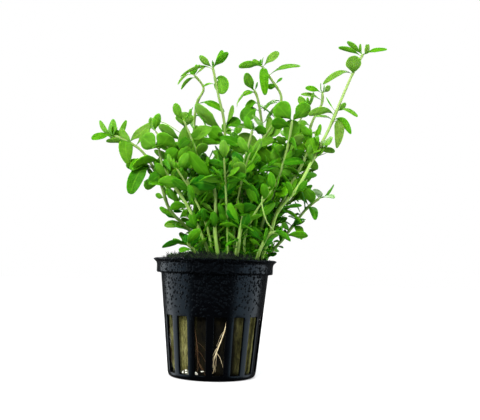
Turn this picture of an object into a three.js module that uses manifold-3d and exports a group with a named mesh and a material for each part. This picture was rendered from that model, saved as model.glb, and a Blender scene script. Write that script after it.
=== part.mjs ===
// A compact bacopa, a stem plant for aquariums, growing in its small net pot.
// Millimetres, +Z up. The origin is the centre of the pot's base, and the photograph looks along +Y.
// The pieces are the slotted pot, the stone wool plug in it, the roots on the plug, and the shoots,
// each of which is one stem with the leaves that grow from it.

import * as THREE from "three";
import { mergeVertices } from "three/addons/utils/BufferGeometryUtils.js";
import Module from "manifold-3d";

const wasm = await Module();
wasm.setup();

// The pot: a tapered cup with a stepped band, a flared lip and slots around its lower half.
const POT_HEIGHT = 51;
const LIP_RADIUS = 27.5;
const LIP_DEPTH = 1.6;
const BAND_RADIUS = 25.9;
const BAND_LOW = 45.2;
const BAND_STEP = 2.0;
const BASE_RADIUS = 19.3;
const BASE_CORNER = 1.7;
const WALL = 1.0;
const POT_SEGMENTS = 32;

const SLOT_COUNT = 16;
const SLOT_WIDTH = 5.0;
const SLOT_LOW = 2.4;
const SLOT_HIGH = 26.9;
const FIRST_SLOT_HEADING = -80.5;
const FLOOR_SLOT_COUNT = 8;
const FLOOR_SLOT_WIDTH = 2.6;
const FLOOR_SLOT_START = 7;
const FLOOR_SLOT_END = 15;

// The plug of stone wool stands on the floor and stays clear of the wall, with the roots between.
const PLUG_TOP = 50;
const PLUG_WALL_GAP = 1.4;
const PLUG_CORNER = 1.2;
const PLUG_SEGMENTS = 24;
const TOUCH_GAP = 0.3;

const ROOT_RADIUS = 0.4;
const ROOT_OFFSET = 0.65;
const ROOT_SIDES = 5;
const ROOT_STEPS = 5;

// Stems taper from foot to tip, and leaves are widest past their middle.
const STEM_FOOT_RADIUS = 1.25;
const STEM_TIP_RADIUS = 0.75;
const YOUNG_FOOT_RADIUS = 1.0;
const YOUNG_TIP_RADIUS = 0.6;
const STEM_SIDES = 5;
const STEM_STEP = 12;
const YOUNG_STEP = 19;
const BUD_DEPTH = 0.8;
const LEAF_ROOT = 0.25;
const ROUTE_STEPS = 24;
const LEAF_THICKNESS = 0.7;
const LEAF_CLEARANCE = 0.2;
const SHORTEST_EDGE = 0.005;
const BLADE_STRETCH = 1.25;
const LEAST_TWIST = 35;
const MOST_TWIST = 80;
const CLUMP_CENTRE = [8, 0];
const BLADE = [[0, 0], [0.4, 0.84], [0.8, 0.96], [1, 0]];
const LAUNCH_OUT = 0.8;
const LAUNCH_UP = 0.6;
const BEND_PLACE = 0.45;
const STEEPEST_RISE = 85;

// Where a leaf would meet another shoot it turns aside or stays smaller, as a growing leaf does.
// Each try is a change of heading, a change of rise and a size.
const LEAF_TRIES = [
  [0, 0, 1], [16, 8, 1], [-16, 8, 1], [28, -12, 0.95], [-28, -12, 0.95], [0, 24, 0.85],
  [44, 10, 0.85], [-44, 10, 0.85], [0, -26, 0.75], [68, 20, 0.7], [-68, 20, 0.7],
];
const STEM_TRIES = [0, 14, -14, 28, -28, 42, -42, 60, -60];

// The shoots that show in the outline. A route is the stem's centre line from its foot, and a leaf is
// how far up the stem it grows, its heading and rise in degrees, its length and its width.
// Pairs fill the stem between two heights with opposite leaves, each pair a quarter turn on.
const shoots = [
  {
    name: "shoot_tall_right",
    route: [[20, -4], [24, -9, 63], [27, -12, 73], [35, -14, 83], [41, -14, 95], [48, -13, 109],
      [54, -11, 124], [59, -9, 136], [64, -7, 146]],
    leaves: [
      [0.99, 180, 40, 9, 2.4], [0.98, -180, 20, 11, 2], [1, -10, 10, 10.5, 2.2], [0.99, 5, 65, 5.5, 2.6],
      [0.89, -100, 60, 8, 5.6], [0.89, 155, -15, 14, 3.2], [0.71, 5, 45, 5.5, 2.4],
      [0.71, -35, -20, 10.5, 2], [0.67, -10, -40, 10, 2.8], [0.66, -30, -80, 12, 4],
      [0.69, -160, -5, 12.5, 2.8], [0.52, -10, 0, 7.5, 2.6], [0.67, 145, 15, 9.5, 1.8],
      [0.55, 25, 15, 4.5, 2],
    ],
    pairs: [0.12, 0.36, 20],
  },
  {
    name: "shoot_right",
    route: [[18, 6], [22, 9, 66], [29, 11, 82], [38, 10, 101], [43, 8, 117], [47, 6, 125], [47, 5, 131]],
    leaves: [
      [0.99, -180, 15, 8, 2.6], [0.99, 10, 45, 5, 2.4], [0.97, -5, 5, 8, 1.8], [0.96, 0, -40, 8, 2.6],
      [0.95, 150, 10, 10.5, 2.4], [0.8, -175, 5, 6.5, 3.2],
    ],
    pairs: [0.2, 0.74, 70],
  },
  {
    name: "shoot_tall_centre",
    route: [[12, 6], [12, 8, 70], [13, 9, 88], [18, 8, 104], [25, 6, 116], [28, 4, 127], [23, 2, 135],
      [18, 0, 141]],
    leaves: [
      [0.99, -5, 45, 10, 3.4], [1, 180, 40, 5, 2.6], [0.99, 180, -15, 11, 2.8], [0.94, 5, 20, 15.5, 3],
      [0.97, -80, -80, 12.5, 3.4], [0.87, 175, -10, 4.5, 2.2], [0.89, 0, 45, 4.5, 1.6],
      [0.59, -15, 75, 12, 3.4], [0.61, 5, 35, 9.5, 4],
    ],
    pairs: [0.25, 0.6, 45],
  },
  {
    name: "shoot_centre_back",
    route: [[15, 10], [18, 14, 70], [20, 16, 89], [21, 14, 106], [19, 11, 119], [17, 9, 128], [15, 8, 132]],
    leaves: [
      [1, -130, 50, 9, 3.8], [0.98, 155, -30, 10.5, 1.8], [0.97, -175, -25, 6.5, 2.6],
      [0.91, 165, -15, 6.5, 3.4], [0.87, -175, -35, 9.5, 4.8], [0.65, 180, 25, 14, 4.2],
      [0.75, 180, 10, 13.5, 3],
    ],
    pairs: [0.25, 0.7, 0],
  },
  {
    name: "shoot_right_inner",
    route: [[16, -3], [20, -8, 66], [25, -12, 82], [30, -14, 99], [32, -15, 113]],
    leaves: [
      [0.99, 90, -70, 9.5, 4.6], [0.99, -155, 40, 10, 5.2], [1, -20, 45, 10, 4.2],
      [0.94, 180, 10, 8.5, 3.8], [0.82, -5, 35, 8, 3.4], [0.79, -160, -35, 8.5, 3.6],
    ],
    pairs: [0.25, 0.76, 30],
  },
  {
    name: "shoot_tall_left",
    route: [[9, 3], [8, 3, 69], [5, 1, 85], [3, 0, 101], [2, 0, 114], [-1, -2, 126], [-4, -4, 139]],
    leaves: [
      [1, 25, 65, 9.5, 2.4], [0.99, -25, 40, 9.5, 3.2], [0.99, 180, 40, 8, 3], [0.98, -180, -15, 15, 2],
      [0.93, 5, -65, 7.5, 5.6], [0.9, -160, -15, 6.5, 1.8], [0.61, -180, 40, 9.5, 5],
      [0.58, -145, 0, 14, 3.6], [0.68, 30, 35, 9, 3.6],
    ],
    pairs: [0.2, 0.48, 60],
  },
  {
    name: "shoot_thin_left",
    route: [[1, 8], [-3, 10, 70], [-9, 9, 93], [-12, 7, 111], [-11, 4, 123], [-8, 2, 130], [-13, 0, 136]],
    leaves: [
      [1, 75, 45, 10, 2.4], [0.99, -55, 25, 10, 2.4], [1, -125, -25, 10, 2.4], [0.97, 145, -25, 10, 2.4],
      [0.84, 130, 40, 12, 3.2], [0.82, 0, -15, 13, 4], [0.75, -70, -40, 12, 3], [0.69, -60, -30, 12, 3.2],
    ],
    pairs: [0.25, 0.6, 15],
  },
  {
    name: "shoot_left_inner",
    route: [[-1, 4], [-4, 0, 69], [-10, -6, 85], [-14, -10, 95], [-15, -12, 105], [-14, -13, 113]],
    leaves: [
      [0.93, -95, 60, 7, 5.8], [0.72, -90, 55, 15.5, 3.6], [0.73, -45, 55, 14.5, 4.6],
      [0.78, 180, 5, 12.5, 4.4], [0.73, -165, -20, 13.5, 6.2], [0.7, -140, -60, 9, 5],
      [0.6, 0, -45, 8.5, 5],
    ],
    pairs: [0.2, 0.55, 80],
  },
  {
    name: "shoot_arching_left",
    route: [[-3, 0], [-11, -6, 63], [-20, -12, 72], [-25, -15, 85], [-33, -17, 97], [-45, -18, 103]],
    leaves: [
      [0.9, 15, 35, 15, 3.4], [1, 175, 45, 9.5, 2], [0.97, 175, 65, 8.5, 3.2], [0.97, 45, 65, 9, 2],
      [1, -155, -15, 10, 3.2], [0.93, 175, 15, 9.5, 2.6], [0.9, 180, 0, 9.5, 2.6], [0.9, -80, -80, 10, 5],
      [0.88, 40, 45, 7.5, 4], [0.69, 175, 0, 11.5, 5], [0.68, -150, -50, 15.5, 4.2],
      [0.41, -180, -30, 6, 3.2], [0.49, 170, 20, 4.5, 2.2],
    ],
    pairs: [0.16, 0.3, 50],
  },
  {
    name: "shoot_left",
    route: [[-1, -6], [-7, -14, 64], [-13, -19, 75], [-19, -21, 83], [-23, -21, 90], [-25, -20, 98]],
    leaves: [
      [0.99, 175, 35, 9, 5], [0.99, -25, 35, 8, 4.8], [0.87, 10, 45, 9, 3.8], [0.77, 150, -20, 9.5, 3.4],
      [0.7, -25, 30, 8, 3.8], [0.5, 175, -15, 7, 3.8], [0.5, 10, 25, 6.5, 3.6], [0.3, 170, 20, 6, 4],
    ],
  },
  {
    name: "shoot_front_left",
    route: [[2, -10], [0, -15, 63], [0, -19, 74], [-1, -21, 84]],
    leaves: [
      [1, -140, 40, 18, 4.2], [1, 20, 60, 11, 2.6], [0.85, -170, 20, 11.5, 6.4], [0.82, 25, 50, 7.5, 3.6],
      [0.51, -175, -30, 7, 3.4], [0.51, -10, -20, 6.5, 3.2],
    ],
  },
  {
    name: "shoot_front_centre",
    route: [[9, -12], [10, -17, 57], [11, -20, 65], [12, -21, 71]],
    leaves: [
      [1, -70, 15, 12, 4.5], [0.75, -170, 50, 11, 2.6], [1, -105, 15, 12, 3.2], [0.68, -65, -5, 12, 3.2],
      [0.43, -115, -10, 12, 3.2], [1, 80, 50, 9, 3],
    ],
  },
  {
    name: "shoot_low_right",
    route: [[20.5, 3.5], [29, 4, 60], [35, 5, 68], [41, 4, 76], [47, 2, 81]],
    leaves: [
      [0.98, -65, -5, 12, 3], [0.86, -110, 30, 12, 4], [0.96, 95, 30, 12, 3.2], [0.98, 35, 40, 11, 2.4],
      [0.8, -75, -30, 12, 3], [0.53, -75, 15, 12, 3.6], [0.53, -70, -30, 12, 3], [0.6, 80, 10, 11, 3.2],
      [0.36, 60, 20, 10, 3],
    ],
  },
  {
    name: "shoot_runner_right",
    route: [[18, -9.5], [20, -16, 57], [24, -20, 63], [30, -22, 62]],
    leaves: [
      [0.98, -45, 0, 12, 3.6], [0.89, 60, 25, 12, 3.2], [0.72, -80, -30, 12, 3.2], [0.5, 170, 30, 10, 3],
    ],
  },
  {
    name: "shoot_right_middle",
    route: [[20, 0], [24, -4, 66], [31, -8, 82], [38, -10, 96], [42, -11, 106]],
    leaves: [
      [0.99, -95, -80, 8, 7], [0.99, -180, 40, 9, 3.4], [0.99, -5, 60, 7, 3], [0.87, 175, -25, 6.5, 4.2],
      [0.4, -10, -25, 12, 4], [0.8, 35, -15, 8.5, 3.6],
    ],
    pairs: [0.25, 0.74, 65],
  },
  {
    name: "shoot_centre",
    route: [[12, -3], [11, -6, 67], [11, -8, 82], [12, -10, 95], [15, -11, 109]],
    leaves: [
      [1, -175, 65, 7, 3.4], [0.99, 5, -10, 6, 4], [0.54, -10, 80, 11.5, 3.6], [0.8, 180, 25, 7, 3.6],
      [0.79, -10, -25, 6.5, 3.8], [0.5, 175, -20, 6.5, 3.4], [0.3, -145, 30, 7.5, 2.8],
      [0.3, 15, -20, 6.5, 2.8],
    ],
  },
  {
    name: "shoot_low_left",
    route: [[-5, -10], [-8, -13, 54], [-12, -15, 58]],
    leaves: [
      [0.98, -150, -10, 12, 3], [0.9, -60, 30, 12, 3.2], [0.56, -115, -5, 12, 3.2], [0.95, 110, 30, 10, 3],
    ],
  },
];

// The young shoots stand between and behind the others, taller in the middle of the clump, and the
// outer ones lean out the most.
const YOUNG_COUNT = 18;
const YOUNG_CENTRE = [7, 1];
const YOUNG_SPREAD = 12.5;
const YOUNG_TALL = 62;
const YOUNG_SHORT = 34;
const INNER_LEAN = 0.25;
const OUTER_LEAN = 0.68;
const YOUNG_BEND = 1.4;
const YOUNG_STOPS = [0, 0.35, 0.7, 1];
const YOUNG_SWAY = 8;
const GOLDEN_TURN = 137.508;
const FIRST_YOUNG_HEADING = 40;
const PAIR_SPACING = 24;
const YOUNG_SPACING = 18;
const PAIR_LENGTH = 11.5;
const PAIR_WIDTH = 4.1;
const PAIR_RISE_LOW = 0;
const PAIR_RISE_HIGH = 42;
const TOP_RISE = 55;
const TOP_LENGTH = 8;
const TOP_WIDTH = 3;
const TOP_AHEAD = 25;
const YOUNG_PHASE = 50;
const YOUNG_SEED = 40;

const STEM_FOOT = PLUG_TOP + TOUCH_GAP;
const FULL_TURN = 360;
const HALF_TURN = 180;
const QUARTER_TURN = 90;
const degree = Math.PI / 180;

// The same number from 0 to 1 for the same pair of counts, every time.
function chance(first, second) {
  return ((first * 7919 + second * 104729 + 331) % 1009) / 1009;
}

function mix(from, to, share) {
  return from + (to - from) * share;
}

// A curve through all the points, walked at even speed.
function routeThrough(points) {
  const spots = [];
  const last = points.length - 1;
  for (let i = 0; i < last; i++) {
    const [b, c] = [points[i], points[i + 1]];
    const [a, d] = [points[Math.max(i - 1, 0)], points[Math.min(i + 2, last)]];
    const steps = i === last - 1 ? ROUTE_STEPS + 1 : ROUTE_STEPS;
    for (let k = 0; k < steps; k++) {
      const t = k / ROUTE_STEPS;
      const spot = [0, 1, 2].map((axis) => 0.5 * (2 * b[axis] + (c[axis] - a[axis]) * t
        + (2 * a[axis] - 5 * b[axis] + 4 * c[axis] - d[axis]) * t * t
        + (3 * b[axis] - a[axis] - 3 * c[axis] + d[axis]) * t * t * t));
      spots.push(new THREE.Vector3(...spot));
    }
  }
  const walked = [0];
  for (let i = 1; i < spots.length; i++) {
    walked.push(walked[i - 1] + spots[i].distanceTo(spots[i - 1]));
  }
  return { spots, walked, length: walked[walked.length - 1] };
}

function spotOn(route, share) {
  const goal = Math.min(Math.max(share, 0), 1) * route.length;
  let i = 1;
  while (i < route.walked.length - 1 && route.walked[i] < goal) {
    i += 1;
  }
  const part = (goal - route.walked[i - 1]) / (route.walked[i] - route.walked[i - 1]);
  return route.spots[i - 1].clone().lerp(route.spots[i], part);
}

function wayOn(route, share) {
  return spotOn(route, share + 0.01).sub(spotOn(route, share - 0.01)).normalize();
}

function solidFrom(geometry) {
  const bare = geometry.clone();
  bare.deleteAttribute("normal");
  bare.deleteAttribute("uv");
  const closed = mergeVertices(bare, 1e-4);
  return new wasm.Manifold(new wasm.Mesh({
    numProp: 3,
    vertProperties: new Float32Array(closed.attributes.position.array),
    triVerts: new Uint32Array(closed.index.array),
  }));
}

function geometryFrom(solid) {
  const mesh = solid.getMesh();
  const geometry = new THREE.BufferGeometry();
  geometry.setAttribute("position", new THREE.BufferAttribute(new Float32Array(mesh.vertProperties), 3));
  geometry.setIndex(new THREE.BufferAttribute(new Uint32Array(mesh.triVerts), 1));
  geometry.computeVertexNormals();
  return geometry;
}

// A shape turned about the pot's axis, from a profile of radius and height that closes on itself or
// starts and ends on the axis.
function turned(profile, segments) {
  const points = profile.map(([radius, height]) => new THREE.Vector2(radius, height));
  const geometry = new THREE.LatheGeometry(points, segments);
  geometry.rotateX(Math.PI / 2);
  return solidFrom(geometry);
}

// The outside radius of the pot's wall at a height below the band.
function wallRadius(height) {
  return mix(BASE_RADIUS, BAND_RADIUS - BAND_STEP, height / BAND_LOW);
}

function makePot() {
  const bandInside = BAND_RADIUS - WALL;
  const underBand = wallRadius(BAND_LOW);
  const profile = [
    [0, 0], [BASE_RADIUS - BASE_CORNER, 0], [BASE_RADIUS - BASE_CORNER * 0.3, BASE_CORNER * 0.3],
    [wallRadius(BASE_CORNER), BASE_CORNER], [wallRadius(SLOT_HIGH), SLOT_HIGH], [underBand, BAND_LOW],
    [BAND_RADIUS - 0.2, BAND_LOW + 0.2], [BAND_RADIUS, POT_HEIGHT - LIP_DEPTH],
    [LIP_RADIUS - 0.2, POT_HEIGHT - LIP_DEPTH / 2], [LIP_RADIUS, POT_HEIGHT], [bandInside, POT_HEIGHT],
    [bandInside - 0.1, BAND_LOW + WALL], [underBand - WALL, BAND_LOW - WALL],
    [wallRadius(BASE_CORNER) - WALL, BASE_CORNER], [BASE_RADIUS - BASE_CORNER - 0.2, WALL], [0, WALL],
  ];
  let pot = turned(profile, POT_SEGMENTS);
  const slotHeight = SLOT_HIGH - SLOT_LOW;
  const slotDepth = WALL * 9;
  for (let i = 0; i < SLOT_COUNT; i++) {
    const slot = new THREE.BoxGeometry(slotDepth, SLOT_WIDTH, slotHeight);
    slot.translate(wallRadius(SLOT_LOW + slotHeight / 2), 0, SLOT_LOW + slotHeight / 2);
    slot.rotateZ((FIRST_SLOT_HEADING + i * FULL_TURN / SLOT_COUNT) * degree);
    pot = pot.subtract(solidFrom(slot));
  }
  const floorSlotLength = FLOOR_SLOT_END - FLOOR_SLOT_START;
  for (let i = 0; i < FLOOR_SLOT_COUNT; i++) {
    const slot = new THREE.BoxGeometry(floorSlotLength, FLOOR_SLOT_WIDTH, WALL * 4);
    slot.translate(FLOOR_SLOT_START + floorSlotLength / 2, 0, 0);
    slot.rotateZ((FIRST_SLOT_HEADING + i * FULL_TURN / FLOOR_SLOT_COUNT) * degree);
    pot = pot.subtract(solidFrom(slot));
  }
  return pot;
}

// The plug's side follows the inside of the pot's wall.
function plugRadius(height) {
  return wallRadius(height) - WALL - PLUG_WALL_GAP;
}

function makePlug() {
  const foot = WALL + TOUCH_GAP;
  const shoulder = PLUG_TOP - PLUG_CORNER;
  const profile = [
    [0, foot], [plugRadius(foot) - PLUG_CORNER, foot], [plugRadius(foot + PLUG_CORNER), foot + PLUG_CORNER],
    [plugRadius(shoulder), shoulder], [plugRadius(PLUG_TOP) - PLUG_CORNER * 0.5, PLUG_TOP], [0, PLUG_TOP],
  ];
  return turned(profile, PLUG_SEGMENTS);
}

// Roots run down the plug behind the slots. Each stop is a heading and a height.
const roots = [
  { name: "root_front", stops: [[-71, 30], [-73, 23], [-78, 17], [-83, 12], [-86, 7], [-88, 3]] },
  { name: "root_front_left", stops: [[-112, 24], [-108, 15], [-107, 9], [-100, 4]] },
  { name: "root_left", stops: [[170, 34], [176, 24], [171, 15], [178, 6]] },
  { name: "root_back", stops: [[82, 36], [88, 25], [84, 16], [92, 9], [90, 3]] },
  { name: "root_right", stops: [[18, 30], [12, 22], [16, 13], [9, 5]] },
];

function makeRoot(root) {
  const points = root.stops.map(([heading, height]) => {
    const radius = plugRadius(height) + ROOT_OFFSET;
    const turn = heading * degree;
    return new THREE.Vector3(radius * Math.cos(turn), radius * Math.sin(turn), height);
  });
  const section = new THREE.Shape();
  for (let i = 0; i < ROOT_SIDES; i++) {
    const turn = i * FULL_TURN / ROOT_SIDES * degree;
    section[i === 0 ? "moveTo" : "lineTo"](ROOT_RADIUS * Math.cos(turn), ROOT_RADIUS * Math.sin(turn));
  }
  section.closePath();
  return solidFrom(new THREE.ExtrudeGeometry(section, {
    steps: ROOT_STEPS,
    extrudePath: new THREE.CatmullRomCurve3(points),
  }));
}

function stemSteps(route, step) {
  return Math.max(2, Math.round(route.length / step));
}

// A stem is a cylinder bent along its route, thinner to the tip. Its foot stays level.
function makeStem(shoot, grow = 0) {
  const geometry = new THREE.CylinderGeometry(1, 1, 1, STEM_SIDES, shoot.steps);
  const place = geometry.attributes.position;
  for (let i = 0; i < place.count; i++) {
    const share = place.getY(i) + 0.5;
    const spot = spotOn(shoot.route, share);
    const way = share === 0 ? new THREE.Vector3(0, 0, 1) : wayOn(shoot.route, share);
    const side = new THREE.Vector3().crossVectors(way, new THREE.Vector3(0, 1, 0)).normalize();
    const front = new THREE.Vector3().crossVectors(side, way);
    const radius = mix(shoot.footRadius, shoot.tipRadius, share) + grow;
    spot.addScaledVector(side, place.getX(i) * radius).addScaledVector(front, place.getZ(i) * radius);
    place.setXYZ(i, spot.x, spot.y, spot.z);
  }
  return solidFrom(geometry);
}

// The midline of a leaf leaves the stem on a rising line and bends over to the leaf's heading and rise.
// The top leaves start a little below the stem's end, as from a bud, and a blade that grows sideways
// twists until its upper side looks away from the middle of the clump.
function leafLine(shoot, leaf, tried) {
  const [at, heading, rise, length] = leaf;
  const [turnAside, lift, size] = tried;
  const turn = (heading + turnAside) * degree;
  const slope = Math.min(rise + lift, STEEPEST_RISE) * degree;
  const reach = length * size;
  const out = new THREE.Vector3(Math.cos(turn), Math.sin(turn), 0);
  const joint = Math.min(at, 1 - BUD_DEPTH / shoot.route.length);
  const base = spotOn(shoot.route, joint).addScaledVector(out, LEAF_ROOT);
  const launch = out.clone().multiplyScalar(LAUNCH_OUT).addScaledVector(wayOn(shoot.route, at), LAUNCH_UP);
  const bend = base.clone().addScaledVector(launch.normalize(), reach * BEND_PLACE);
  const tip = base.clone().addScaledVector(out, reach * Math.cos(slope));
  tip.z += reach * Math.sin(slope);
  const across = new THREE.Vector3(-Math.sin(turn), Math.cos(turn), 0);
  const outward = across.x * (base.x - CLUMP_CENTRE[0]) + across.y * (base.y - CLUMP_CENTRE[1]);
  const luck = chance(heading + 2 * FULL_TURN, Math.floor(length));
  const turned = mix(LEAST_TWIST, MOST_TWIST, luck) * degree * Math.abs(Math.cos(turn));
  const twist = Math.sign(outward) * turned;
  return { base, bend, tip, across, twist, size };
}

// A leaf is a sphere of few facets drawn out along its midline: a point inside the stem, three corners
// around it at each station, the lower one the midrib, and a point at the tip.
function makeLeaf(shoot, leaf, tried, grow = 0) {
  const line = leafLine(shoot, leaf, tried);
  const halfWidth = leaf[4] * BLADE_STRETCH * line.size / 2 + grow;
  const geometry = new THREE.SphereGeometry(1, 3, BLADE.length - 1);
  const place = geometry.attributes.position;
  for (let i = 0; i < place.count; i++) {
    const station = Math.round(Math.acos(place.getY(i)) / Math.PI * (BLADE.length - 1));
    const ring = Math.hypot(place.getX(i), place.getZ(i)) || 1;
    const [along, width] = BLADE[station];
    const share = station === BLADE.length - 1 ? along + grow / leaf[3] : along;
    const spot = line.base.clone().multiplyScalar((1 - share) * (1 - share));
    spot.addScaledVector(line.bend, 2 * share * (1 - share)).addScaledVector(line.tip, share * share);
    const way = line.bend.clone().sub(line.base).multiplyScalar(1 - share);
    way.addScaledVector(line.tip.clone().sub(line.bend), share).normalize();
    const across = line.across.clone().addScaledVector(way, -line.across.dot(way)).normalize();
    across.applyAxisAngle(way, line.twist * Math.min(share * 2, 1));
    const upper = new THREE.Vector3().crossVectors(way, across);
    const onRing = station > 0 && station < BLADE.length - 1;
    if (onRing) {
      spot.addScaledVector(across, -place.getZ(i) / ring * halfWidth * width / Math.sin(Math.PI / 3));
      spot.addScaledVector(upper, place.getX(i) / ring * (LEAF_THICKNESS + grow));
    }
    place.setXYZ(i, spot.x, spot.y, spot.z);
  }
  return solidFrom(geometry);
}

// Opposite pairs from one share of the stem to another, each pair a quarter turn from the last.
function leafPairs(shoot, low, high, phase, spacing, seed) {
  const leaves = [];
  const count = Math.max(1, Math.round((high - low) * shoot.route.length / spacing));
  for (let k = 0; k < count; k++) {
    const at = mix(low, high, (k + 0.5) / count);
    for (const half of [0, HALF_TURN]) {
      const luck = chance(seed, k * 2 + half);
      const rise = mix(PAIR_RISE_LOW, PAIR_RISE_HIGH, (at + luck / 2) / 1.5);
      leaves.push([at, phase + k * QUARTER_TURN + half, rise, PAIR_LENGTH * mix(0.85, 1.1, luck),
        PAIR_WIDTH * mix(0.85, 1.15, luck)]);
    }
  }
  return leaves;
}

function youngShoot(i) {
  const ring = Math.sqrt((i + 0.5) / YOUNG_COUNT);
  const luck = chance(i, 5);
  const height = mix(YOUNG_TALL, YOUNG_SHORT, ring * ring) * mix(0.8, 1.2, luck);
  return { name: `young_shoot_${String(i + 1).padStart(2, "0")}`, ring, luck, height };
}

// A young shoot stands where its count puts it, and moves round the pot until it is clear.
function youngRoute(young, i, aside) {
  const turn = (i * GOLDEN_TURN + FIRST_YOUNG_HEADING + aside) * degree;
  const out = [Math.cos(turn), Math.sin(turn)];
  const foot = YOUNG_SPREAD * young.ring;
  const lean = young.height * mix(INNER_LEAN, OUTER_LEAN, young.ring);
  const sway = (young.luck - 0.5) * YOUNG_SWAY;
  const stops = YOUNG_STOPS.map((share) => {
    const radius = foot + lean * share ** YOUNG_BEND;
    const bow = sway * Math.sin(share * Math.PI);
    return [
      YOUNG_CENTRE[0] + out[0] * radius - out[1] * bow,
      YOUNG_CENTRE[1] + out[1] * radius + out[0] * bow,
      STEM_FOOT + young.height * share,
    ];
  });
  return routeThrough(stops);
}

function youngLeaves(shoot, i) {
  const phase = i * YOUNG_PHASE;
  const leaves = leafPairs(shoot, 0.22, 0.9, phase, YOUNG_SPACING, i + YOUNG_SEED);
  for (const half of [0, HALF_TURN]) {
    leaves.push([1, phase + half + TOP_AHEAD, TOP_RISE, TOP_LENGTH, TOP_WIDTH]);
  }
  return leaves;
}

const placed = [];

function isClear(solid, owner) {
  const box = solid.boundingBox();
  return placed.every((other) => {
    if (other.owner === owner) {
      return true;
    }
    const apart = [0, 1, 2].some((axis) => {
      return box.min[axis] > other.box.max[axis] || box.max[axis] < other.box.min[axis];
    });
    return apart || solid.intersect(other.solid).isEmpty();
  });
}

function place(solid, owner) {
  placed.push({ solid, owner, box: solid.boundingBox() });
}

// Every piece is placed in turn, stems before leaves, and each keeps clear of those before it.
const potSolid = makePot();
const plugSolid = makePlug();
place(potSolid, "net_pot");
place(plugSolid, "stone_wool_plug");

for (const shoot of shoots) {
  shoot.route = routeThrough(shoot.route.map(([x, y, z = STEM_FOOT]) => [x, y, z]));
  shoot.steps = stemSteps(shoot.route, STEM_STEP);
  shoot.footRadius = STEM_FOOT_RADIUS;
  shoot.tipRadius = STEM_TIP_RADIUS;
  shoot.body = makeStem(shoot);
  place(shoot.body, shoot.name);
}
const pairsOf = new Map(shoots.map((shoot, i) => {
  const [low, high, phase] = shoot.pairs || [0, 0, 0];
  return [shoot, shoot.pairs ? leafPairs(shoot, low, high, phase, PAIR_SPACING, i) : []];
}));
for (let i = 0; i < YOUNG_COUNT; i++) {
  const shoot = youngShoot(i);
  shoot.footRadius = YOUNG_FOOT_RADIUS;
  shoot.tipRadius = YOUNG_TIP_RADIUS;
  const aside = STEM_TRIES.find((tried) => {
    shoot.route = youngRoute(shoot, i, tried);
    shoot.steps = stemSteps(shoot.route, YOUNG_STEP);
    return isClear(makeStem(shoot, LEAF_CLEARANCE), shoot.name);
  });
  if (aside !== undefined) {
    shoot.body = makeStem(shoot);
    place(shoot.body, shoot.name);
    shoot.leaves = [];
    pairsOf.set(shoot, youngLeaves(shoot, i));
    shoots.push(shoot);
  }
}
// A join is sound where it is one body and no two of its corners are too close to keep apart.
function isSound(solid) {
  const places = solid.getMesh().vertProperties;
  for (let i = 0; i < places.length; i += 3) {
    for (let j = 0; j < i; j += 3) {
      const gap = [0, 1, 2].map((axis) => places[i + axis] - places[j + axis]);
      if (Math.hypot(...gap) < SHORTEST_EDGE) {
        return false;
      }
    }
  }
  return solid.decompose().length === 1;
}

// A leaf joins its stem the first way that is clear of the other shoots and sound.
function addLeaf(shoot, leaf) {
  for (const tried of LEAF_TRIES) {
    if (isClear(makeLeaf(shoot, leaf, tried, LEAF_CLEARANCE), shoot.name)) {
      const solid = makeLeaf(shoot, leaf, tried);
      const joined = shoot.body.add(solid);
      if (isSound(joined)) {
        place(solid, shoot.name);
        shoot.body = joined;
        return;
      }
    }
  }
}

for (const shoot of shoots) {
  shoot.leaves.forEach((leaf) => addLeaf(shoot, leaf));
}
for (const shoot of shoots) {
  pairsOf.get(shoot).forEach((leaf) => addLeaf(shoot, leaf));
}

const finishes = {
  pot: { color: "#141619", roughness: 0.38, metalness: 0 },
  wool: { color: "#6e6432", roughness: 1, metalness: 0 },
  root: { color: "#cdb58c", roughness: 0.7, metalness: 0 },
  shoot: { color: "#57a81e", roughness: 0.5, metalness: 0 },
  young: { color: "#3d8a1a", roughness: 0.5, metalness: 0 },
};

function addPiece(name, solid, finish) {
  const piece = new THREE.Mesh(geometryFrom(solid), new THREE.MeshStandardMaterial(finishes[finish]));
  piece.name = name;
  plant.add(piece);
}

const plant = new THREE.Group();
addPiece("net_pot", potSolid, "pot");
addPiece("stone_wool_plug", plugSolid, "wool");
for (const root of roots) {
  addPiece(root.name, makeRoot(root), "root");
}
for (const shoot of shoots) {
  addPiece(shoot.name, shoot.body, shoot.name.startsWith("young") ? "young" : "shoot");
}

export default plant;
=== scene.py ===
# %% [markdown]
# A potted bacopa in its net pot
#
# This lesson dresses a small aquarium plant: a black slotted pot, a plug of stone wool with roots on it,
# and a bunch of upright shoots with opposite, fleshy leaves. The plain solids of every piece are loaded
# first and give the places and sizes. Each cell then makes one piece or one finish around them. Lengths
# are metres, with millimetres written as a number times MM. Only tables of points and the plant's own
# lines are in millimetres, up to the step that places their corners.

# %% Load the solids and keep their box
import math
import random
from bisect import bisect_left
from functools import lru_cache

import bmesh
import bpy
from mathutils import Matrix, Vector, kdtree


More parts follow.
